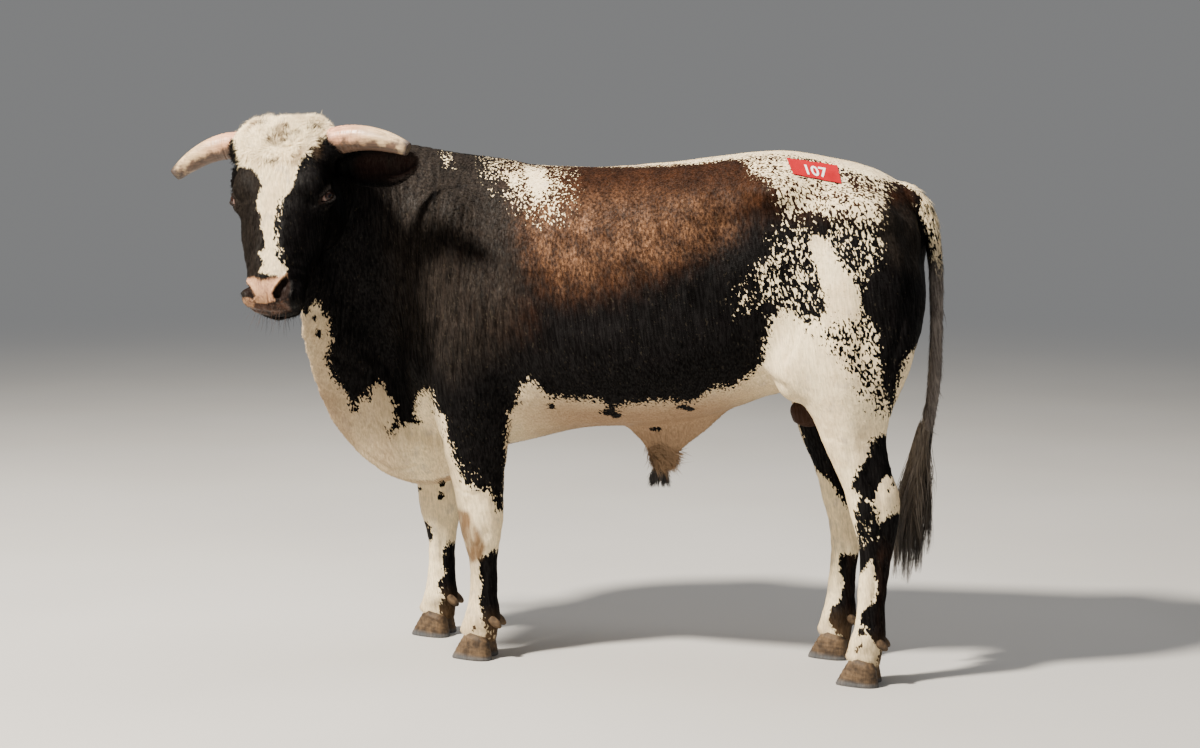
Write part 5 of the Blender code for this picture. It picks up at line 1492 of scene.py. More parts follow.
def light_coat(g):
    """Cream hair, deeper in patches, smoky in others, and tan with painted shade on the underside."""
    light = g.mix(g.ramp(g.blotch, 0.35, 0.75, 0.0, 0.35), CREAM, CREAM_DEEP)
    smoke = g.times(g.ramp(g.clusters, 0.50, 0.68, 0.0, 0.45), g.ramp(g.runs, 0.42, 0.62))
    light = g.shade(g.mix(smoke, light, SMOKE), g.ramp(g.grain, 0.30, 0.70, 0.86, 1.06))
    # Tan and painted shade on the belly and the chest
    return g.mix(g.times(g.value("underside_tan_shade"), 0.92), light, TAN_AND_UNDER_SHADE)


def hide_bump(g):
    """The relief of hair and wrinkles, and the pebbles of the muzzle's pad."""
    hair = g.bump(g.streak, 0.0010, 0.55)
    hair = g.bump(g.times(g.fine, g.value("wrinkle")), 0.0012, 0.6, hair)
    pebble = g.node("ShaderNodeTexVoronoi", feature="DISTANCE_TO_EDGE")
    g.put(pebble.inputs["Vector"], g.where())
    pebble.inputs["Scale"].default_value = PEBBLE_SCALE
    pebbled = g.times(g.ramp(pebble.outputs["Distance"], 0.0, 0.25), g.value("pad"))
    return g.bump(pebbled, 0.0009, 0.8, hair)


def coat_material(name, with_bump):
    g = CoatGraph(name)
    pad, lip = g.value("pad"), g.value("lip")
    pink = g.mix(g.ramp(g.broad, 0.42, 0.62), PAD_PINK, g.mix(g.ramp(g.grain, 0.42, 0.6), PAD_PINK,
                                                              PAD_DARK))
    colour = g.mix(pale_share(g), dark_coat(g), light_coat(g))
    for share, over in (
            # Dust, and painted shade in the poll's curls
            (g.times(g.value("dust_and_shade"), g.ramp(g.broad, 0.28, 0.62, 0.50, 1.0)), DUST_AND_SHADE),
            (g.times(g.value("curl"), g.ramp(g.runs, 0.30, 0.50, 0.70, 1.0)), CURL_SHADE),
            (g.value("sac"), SAC_SKIN),
            (g.value("stem"), g.mix(g.ramp(g.streak, 0.3, 0.7), *TAIL_GREY)),
            (g.times(g.value("ear"), g.ramp(g.blotch, 0.35, 0.65, 0.10, 0.85)), EAR_SKIN),
            (pad, pink),
            # Lip skin, partly painted shade under the muzzle
            (lip, g.mix(g.ramp(g.broad, 0.35, 0.65), LIP_SKIN_AND_SHADE, LIP_DARK)),
            # Painted shade inside the nostrils and dark lid rims
            (g.value("hollow"), NOSTRIL_SHADE_AND_LID_DARK)):
        colour = g.mix(share, colour, over)
    moist = g.times(g.math("MAXIMUM", pad, lip), 0.22)
    sockets = {"Base_Color": g.shade(colour, g.ramp(g.streak, 0.25, 0.75, 0.80, 1.12)),
               "Roughness": g.minus(g.ramp(g.broad, 0.3, 0.7, 0.54, 0.68), moist),
               "Specular_IOR_Level": g.ramp(g.streak, 0.35, 0.70, 0.02, 0.10)}
    if with_bump:
        sockets["Normal"] = hide_bump(g)
    return g.finish(**sockets)


def horn_material():
    g = Graph("horn")
    along = g.value("along")
    under = g.value("under")
    grain = g.noise(g.where((0.12, 1.0, 1.0)), 160.0, 3.0, 0.6)
    cloud = g.noise(g.where(), 26.0, 3.0, 0.6)
    colour = g.mix(g.ramp(along, 0.05, 0.75), *HORN_COLOURS)
    colour = g.mix(g.ramp(g.plus(under, g.times(g.minus(cloud, 0.5), 1.5)), 0.36, 0.70),
                   colour, HORN_BELOW)
    colour = g.mix(g.ramp(g.plus(along, g.times(g.minus(cloud, 0.5), 0.25)), 0.86, 0.99),
                   colour, HORN_TIP)
    colour = g.shade(colour, g.ramp(grain, 0.30, 0.70, 0.58, 1.15))
    normal = g.bump(grain, 0.0009, 0.8)
    normal = g.bump(g.noise(g.where(), 60.0, 3.0, 0.6), 0.0012, 0.4, normal)
    return g.finish(Base_Color=colour, Roughness=g.ramp(cloud, 0.3, 0.7, 0.36, 0.58), Normal=normal)


def hoof_material():
    g = Graph("hoof")
    along = g.value("along")
    grain = g.noise(g.where((1.0, 1.0, 0.15)), 190.0, 3.0, 0.6)
    cloud = g.noise(g.where(), 40.0, 4.0, 0.6)
    colour = g.mix(g.ramp(cloud, 0.35, 0.65), *HOOF_COLOURS)
    colour = g.mix(g.ramp(along, 0.34, 0.10, 0.0, 0.75), colour, HOOF_DUST)
    colour = g.shade(colour, g.ramp(grain, 0.25, 0.75, 0.70, 1.15))
    normal = g.bump(grain, 0.0009, 0.9, g.bump(cloud, 0.0030, 0.6))
    return g.finish(Base_Color=colour, Roughness=g.ramp(cloud, 0.3, 0.7, 0.55, 0.80), Normal=normal,
                    Specular_IOR_Level=0.25)


def hair_material(name, deep, pale):
    g = Graph(name)
    streak = g.noise(g.where((1.0, 1.0, 0.03)), 240.0, 2.0, 0.6)
    colour = g.mix(g.ramp(streak, 0.30, 0.62), deep, pale)
    tip = g.mix(g.ramp(streak, 0.45, 0.7), tuple(0.30 * c for c in deep), deep)
    colour = g.mix(g.value("tip"), colour, tip)
    return g.finish(Base_Color=colour, Roughness=0.55, Sheen_Weight=0.1)


def eye_material():
    g = Graph("eye")
    u, v = g.value("eye_u"), g.value("eye_v")
    reach = g.math("SQRT", g.plus(g.times(u, u), g.times(v, v)))
    fibres = g.noise(g.where(), 900.0, 2.0, 0.6)
    iris = g.mix(g.ramp(fibres, 0.3, 0.7), *IRIS_COLOURS)
    pupil = g.math("SQRT", g.plus(g.times(g.times(u, u), 0.36), g.times(v, v)))
    iris = g.mix(g.ramp(pupil, 0.27, 0.31, 1.0, 0.0), iris, PUPIL_COLOUR)
    sclera = g.mix(g.ramp(fibres, 0.4, 0.7), *WHITE_OF_EYE)
    colour = g.mix(g.ramp(reach, 0.78, 0.86), iris, sclera)
    colour = g.mix(g.times(g.ramp(reach, 0.66, 0.78), g.ramp(reach, 0.92, 0.80)), colour, IRIS_RIM)
    return g.finish(Base_Color=colour, Roughness=0.25, Specular_IOR_Level=0.05,
                    Coat_Weight=0.8, Coat_IOR=1.36, Coat_Roughness=0.015)


def paper_material():
    g = Graph("paper")
    cloud = g.noise(g.where(), 35.0, 3.0, 0.6)
    fibre = g.noise(g.where(), 600.0, 2.0, 0.6)
    colour = g.mix(g.ramp(cloud, 0.35, 0.7), *PAPER_RED)
    normal = g.bump(cloud, 0.0012, 0.5, g.bump(fibre, 0.0002, 0.5))
    return g.finish(Base_Color=colour, Roughness=0.75, Normal=normal, Specular_IOR_Level=0.15)


def ink_material():
    return Graph("ink").finish(Base_Color=INK_WHITE, Roughness=0.7)


def floor_material():
    """Pale and matt near the bull, fading into the background's own colour farther off."""
    g = Graph("floor")
    cloud = g.noise(g.where(), 0.8, 2.0, 0.5)
    colour = g.mix(g.ramp(cloud, 0.3, 0.7), *FLOOR_GREY)
    g.finish(Base_Color=colour, Roughness=0.85, Specular_IOR_Level=0.2)
    glow = g.node("ShaderNodeEmission")
    glow.inputs["Color"].default_value = (*BACKGROUND, 1.0)
    glow.inputs["Strength"].default_value = BACKGROUND_STRENGTH
    reach = g.node("ShaderNodeVectorMath", operation="LENGTH")
    g.put(reach.inputs[0], g.where())
    fade = g.node("ShaderNodeMixShader")
    g.put(fade.inputs[0], g.ramp(reach.outputs["Value"], 2.6, 10.0))
    g.links.new(g.shader.outputs[0], fade.inputs[1])
    g.links.new(glow.outputs[0], fade.inputs[2])
    g.links.new(fade.outputs[0], g.tree.nodes["Material Output"].inputs["Surface"])
    return g.material


# Pieces that stay apart from the skin

HORN_ROOT = (0.116, 0.050, -0.062)
HORN_REACH = {"left": 0.222, "right": 0.198}
HORN_DROOP = {"left": 0.028, "right": 0.074}
HORN_BOW = {"left": 0.012, "right": 0.008}
HORN_RADIUS = (0.037, 0.036, 0.032, 0.027, 0.0185)
HORN_RINGS = (0.055, 0.038, 0.083)     # the periods of three waves that add up to uneven rings


def build_horn(side, material):
    """A blunt horn with worn rings near its root and a cut tip."""
    sign = dict(SIDES)[side]
    draw = np.random.default_rng(SEED + (side == "left"))
    rows, columns = 120, 48
    t = np.linspace(-0.10, 1.0, rows)
    held = np.clip(t, 0, 1)
    sink = HORN_DROOP[side] * held ** 1.8 - HORN_BOW[side] * np.sin(math.pi * held)
    forward = 0.010 * np.sin(math.pi * held)
    line = (POLL + SIDE * (sign * (HORN_ROOT[0] + HORN_REACH[side] * t))[:, None]
            + DOWN * (HORN_ROOT[1] + sink)[:, None] + OUT * (HORN_ROOT[2] + forward)[:, None])
    radius = np.interp(t, np.linspace(0, 1, len(HORN_RADIUS)), HORN_RADIUS) - 0.0006
    rings = sum(0.010 * np.sin(2 * math.pi * (t + draw.uniform(-0.01, 0.01)) / period + draw.uniform(0, 6))
                for period in HORN_RINGS)
    radius = radius * (1 + rings * rise(t, 0.62, 0.20))
    radius = radius * np.where(t > 0.985, 0.93, 1.0)
    along = unit(np.gradient(line, axis=0))
    across = unit(OUT - along * (along @ OUT)[:, None])
    third = np.cross(along, across)
    angle = np.linspace(0, 2 * math.pi, columns, endpoint=False)
    worn = 1 + 0.012 * np.sin(angle * 3 + 1.0) + 0.008 * np.sin(angle * 5 + t[:, None] * 9)
    ring = (across[:, None, :] * np.cos(angle)[None, :, None]
            + third[:, None, :] * np.sin(angle)[None, :, None])
    places = line[:, None, :] + ring * (radius[:, None] * worn)[..., None]
    tip = places[-1] * 0.45 + line[-1] * 0.55 - along[-1] * 0.0015
    points = np.concatenate((places.reshape(-1, 3), tip, (line[-1] - along[-1] * 0.0030)[None]))
    step = rows * columns
    c = np.arange(columns)
    fan = np.stack((step + c, step + (c + 1) % columns, np.full(columns, step + columns)), axis=1)
    horn = mesh_from("horn_" + side + "_shell", points, [grid_faces(rows + 1, columns, closed=True), fan])
    face_outward(horn)
    add_value(horn.data, "along", np.concatenate((np.repeat(held, columns), np.full(columns + 1, 1.02))))
    middles = np.concatenate((np.repeat(line, columns, axis=0), np.repeat(line[-1:], columns + 1, axis=0)))
    under = (middles - points) @ UP
    add_value(horn.data, "under", np.clip(under / 0.030 * 0.5 + 0.5, 0, 1))
    horn.data.materials.append(material)
    return horn


CORONET = 0.060
CORONET_SLOPE = -0.22
CLAW_LENGTH = 0.118
CLAW_WIDTH = 0.053
CLAW_CLEFT = 0.005
CLAW_SPLAY = math.radians(4.0)
TOE_LEAN = 0.62
CLAW_HEIGHTS = np.concatenate((np.linspace(0, 0.004, 5), np.linspace(0.006, CORONET, 34),
                               CORONET + np.array((0.003, 0.006, 0.009, 0.012, 0.014))))
CLAW_COLUMNS = 56
CLAW_ROUNDNESS = 2.3                   # the exponent of its oval seen from above
DEWCLAW_LENGTH = 0.040
DEWCLAW_RADIUS = 0.0142
DEWCLAW_WAY = (0.62, 0.0, -0.50)
DEWCLAW_UP = (0.50, 0.0, 0.62)


def claw_shape(draw):
    """Rings of points from the sole up, about the claw's own place, uneven as a claw grows."""
    height = CLAW_HEIGHTS
    angle = np.linspace(0, 2 * math.pi, CLAW_COLUMNS, endpoint=False)
    cosine, sine = np.cos(angle), np.sin(angle)
    z = np.minimum(height, CORONET + 0.002)[:, None]
    lean = TOE_LEAN * z
    front = -0.062 + lean
    back = front + CLAW_LENGTH - lean * 1.25
    centre = front * 0.35 + back * 0.65
    reach = np.abs(sine) ** (2 / CLAW_ROUNDNESS)
    narrow = np.where(sine < 0, 1 - 0.28 * reach, 1.0)
    half = CLAW_WIDTH / 2 * (1 - 1.6 * z)
    y = half * np.sign(cosine) * np.abs(cosine) ** (2 / CLAW_ROUNDNESS) * narrow
    x = np.where(sine > 0, back - centre, front - centre) * reach
    edge = np.interp(height, (0, 0.004), (0.955, 1.0))[:, None]
    tuck = np.interp(height, (CORONET, CLAW_HEIGHTS[-1]), (1.0, 0.72))[:, None]
    level = height[:, None] + 0.0035 * np.sin(angle * 2 + draw.uniform(0, 6))
    above = rise(height, 0.002, 0.012)[:, None]
    grown = 1 + above * (0.0085 * np.sin(level * 520 + draw.uniform(0, 6)) + 0.004 * np.sin(level * 1190))
    grown = edge * tuck * (grown + 0.006 * np.sin(angle * 3 + draw.uniform(0, 6)) * above)
    x = centre + x * grown
    return x, y * grown, height[:, None] * (1 + CORONET_SLOPE * x / CORONET)


def build_claws(foot, material):
    """Both claws of a foot, with their tops hidden in the hair."""
    foot_x, foot_y = FEET[foot]
    outward = -1 if foot.endswith("left") else 1
    draw = np.random.default_rng(SEED + len(foot) * 3 + int(foot_x > 0))
    claws = []
    for where, away in (("outer", outward), ("inner", -outward)):
        x, y, z = claw_shape(draw)
        cosine, sine = math.cos(away * CLAW_SPLAY), math.sin(away * CLAW_SPLAY)
        gap = (x * sine + y * cosine) * away + (CLAW_WIDTH + CLAW_CLEFT) / 2
        beside = away * np.maximum(gap, CLAW_CLEFT / 2)
        places = np.stack((foot_x + x * cosine - y * sine, foot_y + beside, z), axis=-1).reshape(-1, 3)
        ends = np.stack((places[:CLAW_COLUMNS].mean(axis=0), places[-CLAW_COLUMNS:].mean(axis=0)))
        claw = mesh_from("claw_" + foot + "_" + where + "_horn", np.concatenate((places, ends)),
                         tube_faces(len(CLAW_HEIGHTS), CLAW_COLUMNS))
        face_outward(claw)
        claw.data.set_sharp_from_angle(angle=math.radians(50))
        add_value(claw.data, "along", np.append(np.repeat(CLAW_HEIGHTS / CORONET, CLAW_COLUMNS), (0.0, 1.0)))
        claw.data.materials.append(material)
        claws.append(claw)
    return claws


def build_dewclaws(foot, material):
    """The two horny studs behind a fetlock."""
    rows, columns = 18, 28
    t = np.linspace(0, 1, rows)
    radius = DEWCLAW_RADIUS * np.sqrt(np.maximum(1 - (np.maximum(t - 0.25, 0) / 0.76) ** 2.2, 0.0))
    radius = radius * (1 + 0.03 * np.sin(t * 40))
    angle = np.linspace(0, 2 * math.pi, columns, endpoint=False)[:, None]
    ring = np.array((0, 0.92, 0)) * np.cos(angle) + unit(np.array(DEWCLAW_UP)) * np.sin(angle) * 0.86
    studs = []
    for where in ("outer", "inner"):
        node = "dewclaw_" + foot + "_" + where
        low, high = (np.array(corner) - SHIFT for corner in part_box(node))
        tip = np.array((high[0] - 0.004, (low[1] + high[1]) / 2, low[2] + 0.005))
        line = tip - unit(np.array(DEWCLAW_WAY)) * DEWCLAW_LENGTH * (1 - t)[:, None]
        places = (line[:, None, :] + ring[None] * radius[:, None, None]).reshape(-1, 3)
        places = np.concatenate((places, line[:1], line[-1:]))
        stud = mesh_from(node + "_horn", places, tube_faces(rows, columns))
        face_outward(stud)
        add_value(stud.data, "along", np.append(np.repeat(1 - t * 0.5, columns), (1.0, 0.5)))
        stud.data.materials.append(material)
        studs.append(stud)
    return studs


def build_eye(side, material):
    """The ball with the swell of the cornea."""
    sign = dict(SIDES)[side]
    centre, toward, brow, look = eye_frame(sign)
    rows, columns = 60, 72
    polar = np.linspace(0.02, math.pi - 0.02, rows)[:, None]
    angle = np.linspace(0, 2 * math.pi, columns, endpoint=False)[None, :]
    radius = EYE_RADIUS - 0.0004 + 0.0009 * rise(np.cos(polar), 0.60, 0.95)
    flat = radius * np.sin(polar)
    places = (centre + toward * (flat * np.cos(angle))[..., None] + brow * (flat * np.sin(angle))[..., None]
              + look * (radius * np.cos(polar))[..., None])
    poles = [centre + look * (EYE_RADIUS + 0.0005), centre - look * EYE_RADIUS]
    places = np.concatenate((places.reshape(-1, 3), poles))
    eye = mesh_from("eye_" + side + "_ball", places, tube_faces(rows, columns))
    face_outward(eye)
    offset = places - centre
    front = offset @ look > 0
    add_value(eye.data, "eye_u", np.where(front, offset @ toward / IRIS_REACH, 2.0))
    add_value(eye.data, "eye_v", np.where(front, offset @ brow / IRIS_REACH, 2.0))
    eye.data.materials.append(material)
    return eye


# The tag's corners in the photograph's pixels
TAG = [(793.0, 175.0), (841.5, 184.5), (837.0, 166.4), (786.4, 158.9)]
TAG_SHAPE = 2.43                       # its length, in widths
TAG_NUMBER = "107"
TAG_LETTER_SPAN = 3.1                  # its length, in heights of its digits


def build_tag(skin, material):
    """A paper tag glued on the rump, bent to it, with edges that lift a little."""
    tree = BVHTree.FromObject(skin, bpy.context.evaluated_depsgraph_get())
    rows, columns = 40, 18
    u, v = np.meshgrid(np.linspace(-0.5, 0.5, rows), np.linspace(-0.5, 0.5, columns), indexing="ij")
    p, q = (u + 0.5)[..., None], (v + 0.5)[..., None]
    low_left, low_right, high_right, high_left = (np.array(corner) for corner in TAG)
    low, high = low_left * (1 - p) + low_right * p, high_left * (1 - p) + high_right * p
    flat = (low * (1 - q) + high * q).reshape(-1, 2)
    lifted = []
    for across, down in (flat - (PHOTO_WIDTH / 2, PHOTO_HEIGHT / 2)) / FOCAL_PIXELS:
        ray = unit(VIEW_FORWARD + VIEW_RIGHT * across - VIEW_UP * down)
        hit, normal, _, _ = tree.ray_cast(Vector(VIEW_FROM + SHIFT), Vector(ray))
        lifted.append(np.array(hit + normal * 0.0030) - SHIFT)
    places = relax_grid(np.array(lifted).reshape(rows, columns, 3), 6)
    edge = np.maximum(np.abs(u), np.abs(v)) * 2
    raised = 0.0014 * rise(edge, 0.80, 1.0) * (0.6 + 0.4 * np.sin(u * 17 + v * 9))
    places += np.array((0, -0.3, 1.0)) * raised[..., None]
    top = places.reshape(-1, 3)
    bottom = top - np.array((0, -0.3, 0.95)) * 0.0007
    tag = mesh_from("rump_tag_paper", np.concatenate((top, bottom)), slab_faces(rows, columns))
    face_outward(tag)
    tag.data.set_sharp_from_angle(angle=math.radians(40))
    tag.data.materials.append(material)
    return tag, places


def build_number(grid, material):
    """A plain number printed on the tag, as thin raised paint."""
    curve = bpy.data.curves.new("tag_number", "FONT")
    curve.body = TAG_NUMBER
    curve.size = 1.0
    curve.align_x = "CENTER"
    curve.align_y = "CENTER"
    curve.offset = 0.018
    curve.resolution_u = 3
    letters = add_object("tag_letters", curve)
    bpy.context.view_layer.update()
    mesh = bpy.data.meshes.new_from_object(letters.evaluated_get(bpy.context.evaluated_depsgraph_get()))
    bpy.data.objects.remove(letters, do_unlink=True)
    with editing(mesh) as bm:
        for _ in range(3):
            bmesh.ops.triangulate(bm, faces=bm.faces)
            bmesh.ops.subdivide_edges(bm, edges=[e for e in bm.edges if e.calc_length() > 0.12], cuts=1)
    flat = read_places(mesh)
    rows, columns = grid.shape[:2]
    row = (flat[:, 0] / TAG_LETTER_SPAN + 0.5) * (rows - 1)
    column = (flat[:, 1] / TAG_LETTER_SPAN * TAG_SHAPE + 0.42) * (columns - 1)
    r = np.clip(row.astype(int), 0, rows - 2)
    c = np.clip(column.astype(int), 0, columns - 2)
    fr, fc = (row - r)[:, None], (column - c)[:, None]
    spot = (grid[r, c] * (1 - fr) * (1 - fc) + grid[r + 1, c] * fr * (1 - fc)
            + grid[r, c + 1] * (1 - fr) * fc + grid[r + 1, c + 1] * fr * fc)
    write_places(mesh, spot + np.array((0.0, -0.0003, 0.0007)) + SHIFT)
    number = add_object("tag_number", mesh)
    number.data.materials.clear()
    number.data.materials.append(material)
    return number


def relax_grid(places, rounds):
    for _ in range(rounds):
        middle = places.copy()
        middle[1:-1] = (places[:-2] + places[2:]) / 2
        middle[:, 1:-1] = (middle[:, 1:-1] + (places[:, :-2] + places[:, 2:]) / 2) / 2
        places = places * 0.5 + middle * 0.5
    return places


# The middle line of the tail's brush, as heights and places along the body
BRUSH_AXIS = [(0.260, 0.748), (0.420, 0.753), (0.550, 0.769), (0.620, 0.779), (0.700, 0.796)]
GOLDEN_ANGLE = math.radians(137.5)
SWITCH_STRANDS = 1800
SWITCH_CLUMPS = 10
TUFT_STRANDS = 700
# Where the tips of the sheath's locks hang, from its middle
TUFT_LOCKS = np.array(((-0.031, 0.002), (-0.021, -0.007), (-0.010, 0.006), (0.010, -0.003), (0.024, 0.004)))


def plain_roots(count):
    """Values for strands that are rooted on no skin."""
    return {"values": {name: np.zeros(count) for name in COAT_VALUES},
            "spot": np.full((count, 2), FREE_SPOT)}


def build_switch(material):
    """The tail's brush: strands gathered in clumps that part toward their tips."""
    draw = np.random.default_rng(SEED + 20)
    count, steps, clumps = SWITCH_STRANDS, 14, SWITCH_CLUMPS
    t = np.linspace(0, 1, steps)[None, :]
    clump = draw.integers(0, clumps, count)
    clump_angle = np.arange(clumps) * GOLDEN_ANGLE
    clump_reach = 0.046 * np.sqrt((np.arange(clumps) + 0.5) / clumps)
    clump_tip = draw.uniform(0.235, 0.315, clumps)
    clump_wave = draw.uniform(0, 6.3, clumps)
    top = draw.uniform(0.545, 0.690, count)
    tip = clump_tip[clump] + draw.exponential(0.020, count)
    tip = tip + draw.uniform(0, 0.14, count) * (draw.random(count) < 0.35)
    angle = draw.uniform(0, 2 * math.pi, count)
    radius = np.interp(top, (0.54, 0.60, 0.65, 0.69), (0.020, 0.021, 0.018, 0.014))
    z = top[:, None] + (tip - top)[:, None] * t
    axis_x = np.interp(z, [p[0] for p in BRUSH_AXIS], [p[1] for p in BRUSH_AXIS])
    gather = rise(t, 0.10, 0.72)
    start = np.stack((np.cos(angle) * radius, np.sin(angle) * radius), axis=1)
    clump_middle = np.stack((np.cos(clump_angle), np.sin(clump_angle)), axis=1) * clump_reach[:, None]
    goal = clump_middle[clump] + draw.normal(0, 0.0017, (count, 2))
    swell = 0.010 * np.sin(math.pi * t) * draw.uniform(0.4, 1.2, count)[:, None]
    wave = 0.0026 * np.sin(t * draw.uniform(4, 9, count)[:, None] + draw.uniform(0, 6, count)[:, None])
    wave = wave + 0.0080 * gather * np.sin(t * 8.0 + clump_wave[clump][:, None])
    flat = start[:, None, :] * (1 - gather)[..., None] + goal[:, None, :] * gather[..., None]
    flat = flat + np.stack((np.cos(angle), np.sin(angle)), axis=1)[:, None, :] * (swell + wave)[..., None]
    paths = np.stack((axis_x + flat[..., 0] * 1.1, flat[..., 1], z), axis=2)
    across = np.stack((-np.sin(angle + 0.5), np.cos(angle + 0.5), np.zeros(count)), axis=1)
    widths = draw.uniform(0.0010, 0.0022, count)
    switch = strand_object("tail_switch_hair", paths, across, widths, plain_roots(count))
    add_value(switch.data, "tip", np.tile(np.repeat(rise(t[0], 0.30, 0.85), 2), count))
    switch.data.materials.append(material)
    return switch


TUFT_X = 0.067
TUFT_TOP = 0.532


def build_sheath_tuft(material):
    """Dark locks at the sheath's end, in two bunches."""
    draw = np.random.default_rng(SEED + 30)
    count, steps = TUFT_STRANDS, 8
    t = np.linspace(0, 1, steps)[None, :]
    angle = draw.uniform(0, 2 * math.pi, count)
    reach = 0.017 * np.sqrt(draw.random(count))
    start = np.stack((np.cos(angle) * reach, np.sin(angle) * reach * 0.85), axis=1)
    goal = TUFT_LOCKS[draw.integers(0, len(TUFT_LOCKS), count)] + draw.normal(0, 0.0024, (count, 2))
    length = draw.uniform(0.040, 0.070, count)
    flat = start[:, None, :] * (1 - t[..., None]) + goal[:, None, :] * t[..., None]
    bend = 0.003 * np.sin(t * draw.uniform(3, 6, count)[:, None] + draw.uniform(0, 6, count)[:, None])
    z = TUFT_TOP + 0.006 - length[:, None] * t
    paths = np.stack((TUFT_X + flat[..., 0] + bend, flat[..., 1] + bend * 0.5, z), axis=2)
    across = np.stack((-np.sin(angle), np.cos(angle), np.zeros(count)), axis=1)
    widths = draw.uniform(0.0013, 0.0026, count)
    tuft = strand_object("sheath_tuft_hair", paths, across, widths, plain_roots(count))
    add_value(tuft.data, "tip", np.tile(np.repeat(rise(t[0], 0.5, 1.0), 2), count))
    tuft.data.materials.append(material)
    return tuft


def build_lashes(material):
    """Lashes on the upper and lower lid of each eye."""
    draw = np.random.default_rng(SEED + 40)
    paths, ways = [], []
    t = np.linspace(0, 1, 6)[:, None]
    for sign in (-1, 1):
        centre, toward, brow, look = eye_frame(sign)
        for upper, number, length in ((True, 46, 0.017), (False, 22, 0.008)):
            for i in range(number):
                angle = math.pi * (0.10 + 0.80 * (i + draw.uniform(-0.3, 0.3)) / number)
                u = LID_LENGTH * 0.98 * math.cos(angle)
                v = (LID_HEIGHT[0] if upper else -LID_HEIGHT[1]) * 1.12 * math.sin(angle) ** 0.8
                w = math.sqrt(max(EYE_RADIUS ** 2 - u * u - v * v, 1e-5)) + 0.0026
                lift = brow * (0.55 if upper else -0.6) + look * 0.9 + toward * (0.5 * math.cos(angle))
                size = length * draw.uniform(0.75, 1.1)
                root = centre + toward * u + brow * v + look * w
                curl = brow * (0.45 if upper else -0.35) - look * 0.35
                paths.append(root + size * (unit(lift) * t + curl * t ** 2))
                ways.append(unit(toward + brow * draw.normal(0, 0.1)))
    widths = np.full(len(paths), 0.0007)
    lashes = strand_object("eyelashes", np.array(paths), np.array(ways), widths, plain_roots(len(paths)))
    add_value(lashes.data, "tip", np.zeros(len(lashes.data.vertices)))
    lashes.data.materials.append(material)
    return lashes


class Coat(NamedTuple):
    """The tufts of one part of the coat: how many, their size, and how they rise, curl and swirl."""

    count: int
    length: float
    width: float
    lift: float
    seed: int
    curl: float = 0.12
    spread: float = 0.25
    wave: float = 0.0


COATS = {
    "coat_left": Coat(58000, 0.0095, 0.0017, 0.085, 1),
    "coat_right": Coat(58000, 0.0095, 0.0017, 0.085, 2),
    "coat_legs": Coat(56000, 0.0062, 0.0011, 0.10, 3),
    "coat_head_14": Coat(56000, 0.0075, 0.0009, 0.15, 14),
    "coat_head_4": Coat(56000, 0.0075, 0.0009, 0.15, 4),
    "coat_poll": Coat(38000, 0.020, 0.0013, 0.24, 5, curl=0.30, spread=0.18, wave=1.6),
    "coat_ears": Coat(9000, 0.017, 0.0012, 0.30, 6, curl=0.25),
    "coat_dewlap": Coat(18000, 0.0085, 0.0013, 0.16, 7, curl=0.2),
    "coat_feet": Coat(20000, 0.0085, 0.0011, 0.07, 8, curl=0.16),
    "coat_sheath": Coat(2600, 0.034, 0.0016, 0.22, 10, curl=0.5, wave=0.6),
    "coat_tail": Coat(14000, 0.026, 0.0018, 0.12, 9),
}
TAG_MARGIN = 2.0                       # bare skin round the tag, in the photograph's pixels
WHISKERS = 90


def coat_densities(hide):
    """How thickly each part of the coat grows at each vertex of the skin."""
    places, values = hide.places, hide.values
    x, y, z = places.T
    backward = hide.normals[:, 0]
    side, down, out = head_parts(places)
    on_head = near_head(places, 0.01).astype(float)
    legs = leg_of(places) != ""
    tail = tail_share(places)
    ear = values["ear"]

    hairy = 1 - np.maximum.reduce([values["pad"], values["sac"], values["lip"], values["hollow"]])
    for _, sign in SIDES:
        hairy = hairy * rise(np.linalg.norm(places - eye_frame(sign)[0], axis=1), 0.026, 0.036)
    hairy = hairy * (1 - 0.85 * on_head * rise(down, 0.43, 0.47))
    hairy = hairy * ~((signed_distance(pixels(places), TAG) > -TAG_MARGIN) & (y < 0.02))

    trunk = (1 - on_head) * ~legs
    poll = on_head * rise(down, 0.135, 0.06) * rise(out, -0.16, -0.12) * (1 - ear)
    face = on_head * (1 - poll) * (1 - 0.4 * ear)
    chest = rise(x, -0.62, -0.80) * rise(z, 1.15, 1.0) * (1 - on_head)
    shank = rise(backward, 0.1, 0.6) * rise(z, 0.36, 0.28)
    fetlock = rise(backward, 0.0, 0.5) * hump(z - 0.105, 0.03)
    from_sheath = (places - np.array((TUFT_X, 0, TUFT_TOP + 0.015))) * (1, 1, 0.7)
    densities = {
        "coat_left": trunk * (y < 0),
        "coat_right": trunk * (y >= 0),
        "coat_legs": legs,
        "coat_head_14": face * (side < 0),
        "coat_head_4": face * (side >= 0),
        "coat_poll": poll,
        "coat_ears": ear * hump(np.abs(ear_across(places)) - 0.92, 0.22),
        "coat_dewlap": np.maximum(chest, rise(z, 0.66, 0.60) * ~legs),
        "coat_feet": legs * (0.2 * shank + rise(z, 0.082, 0.070) + 0.8 * fetlock),
        "coat_sheath": rise(np.linalg.norm(from_sheath, axis=1), 0.055, 0.025) * ~legs,
        "coat_tail": tail * (rise(z, 1.20, 0.70) + 0.15),
    }
    return {name: np.maximum(density * hairy, 0) for name, density in densities.items()}


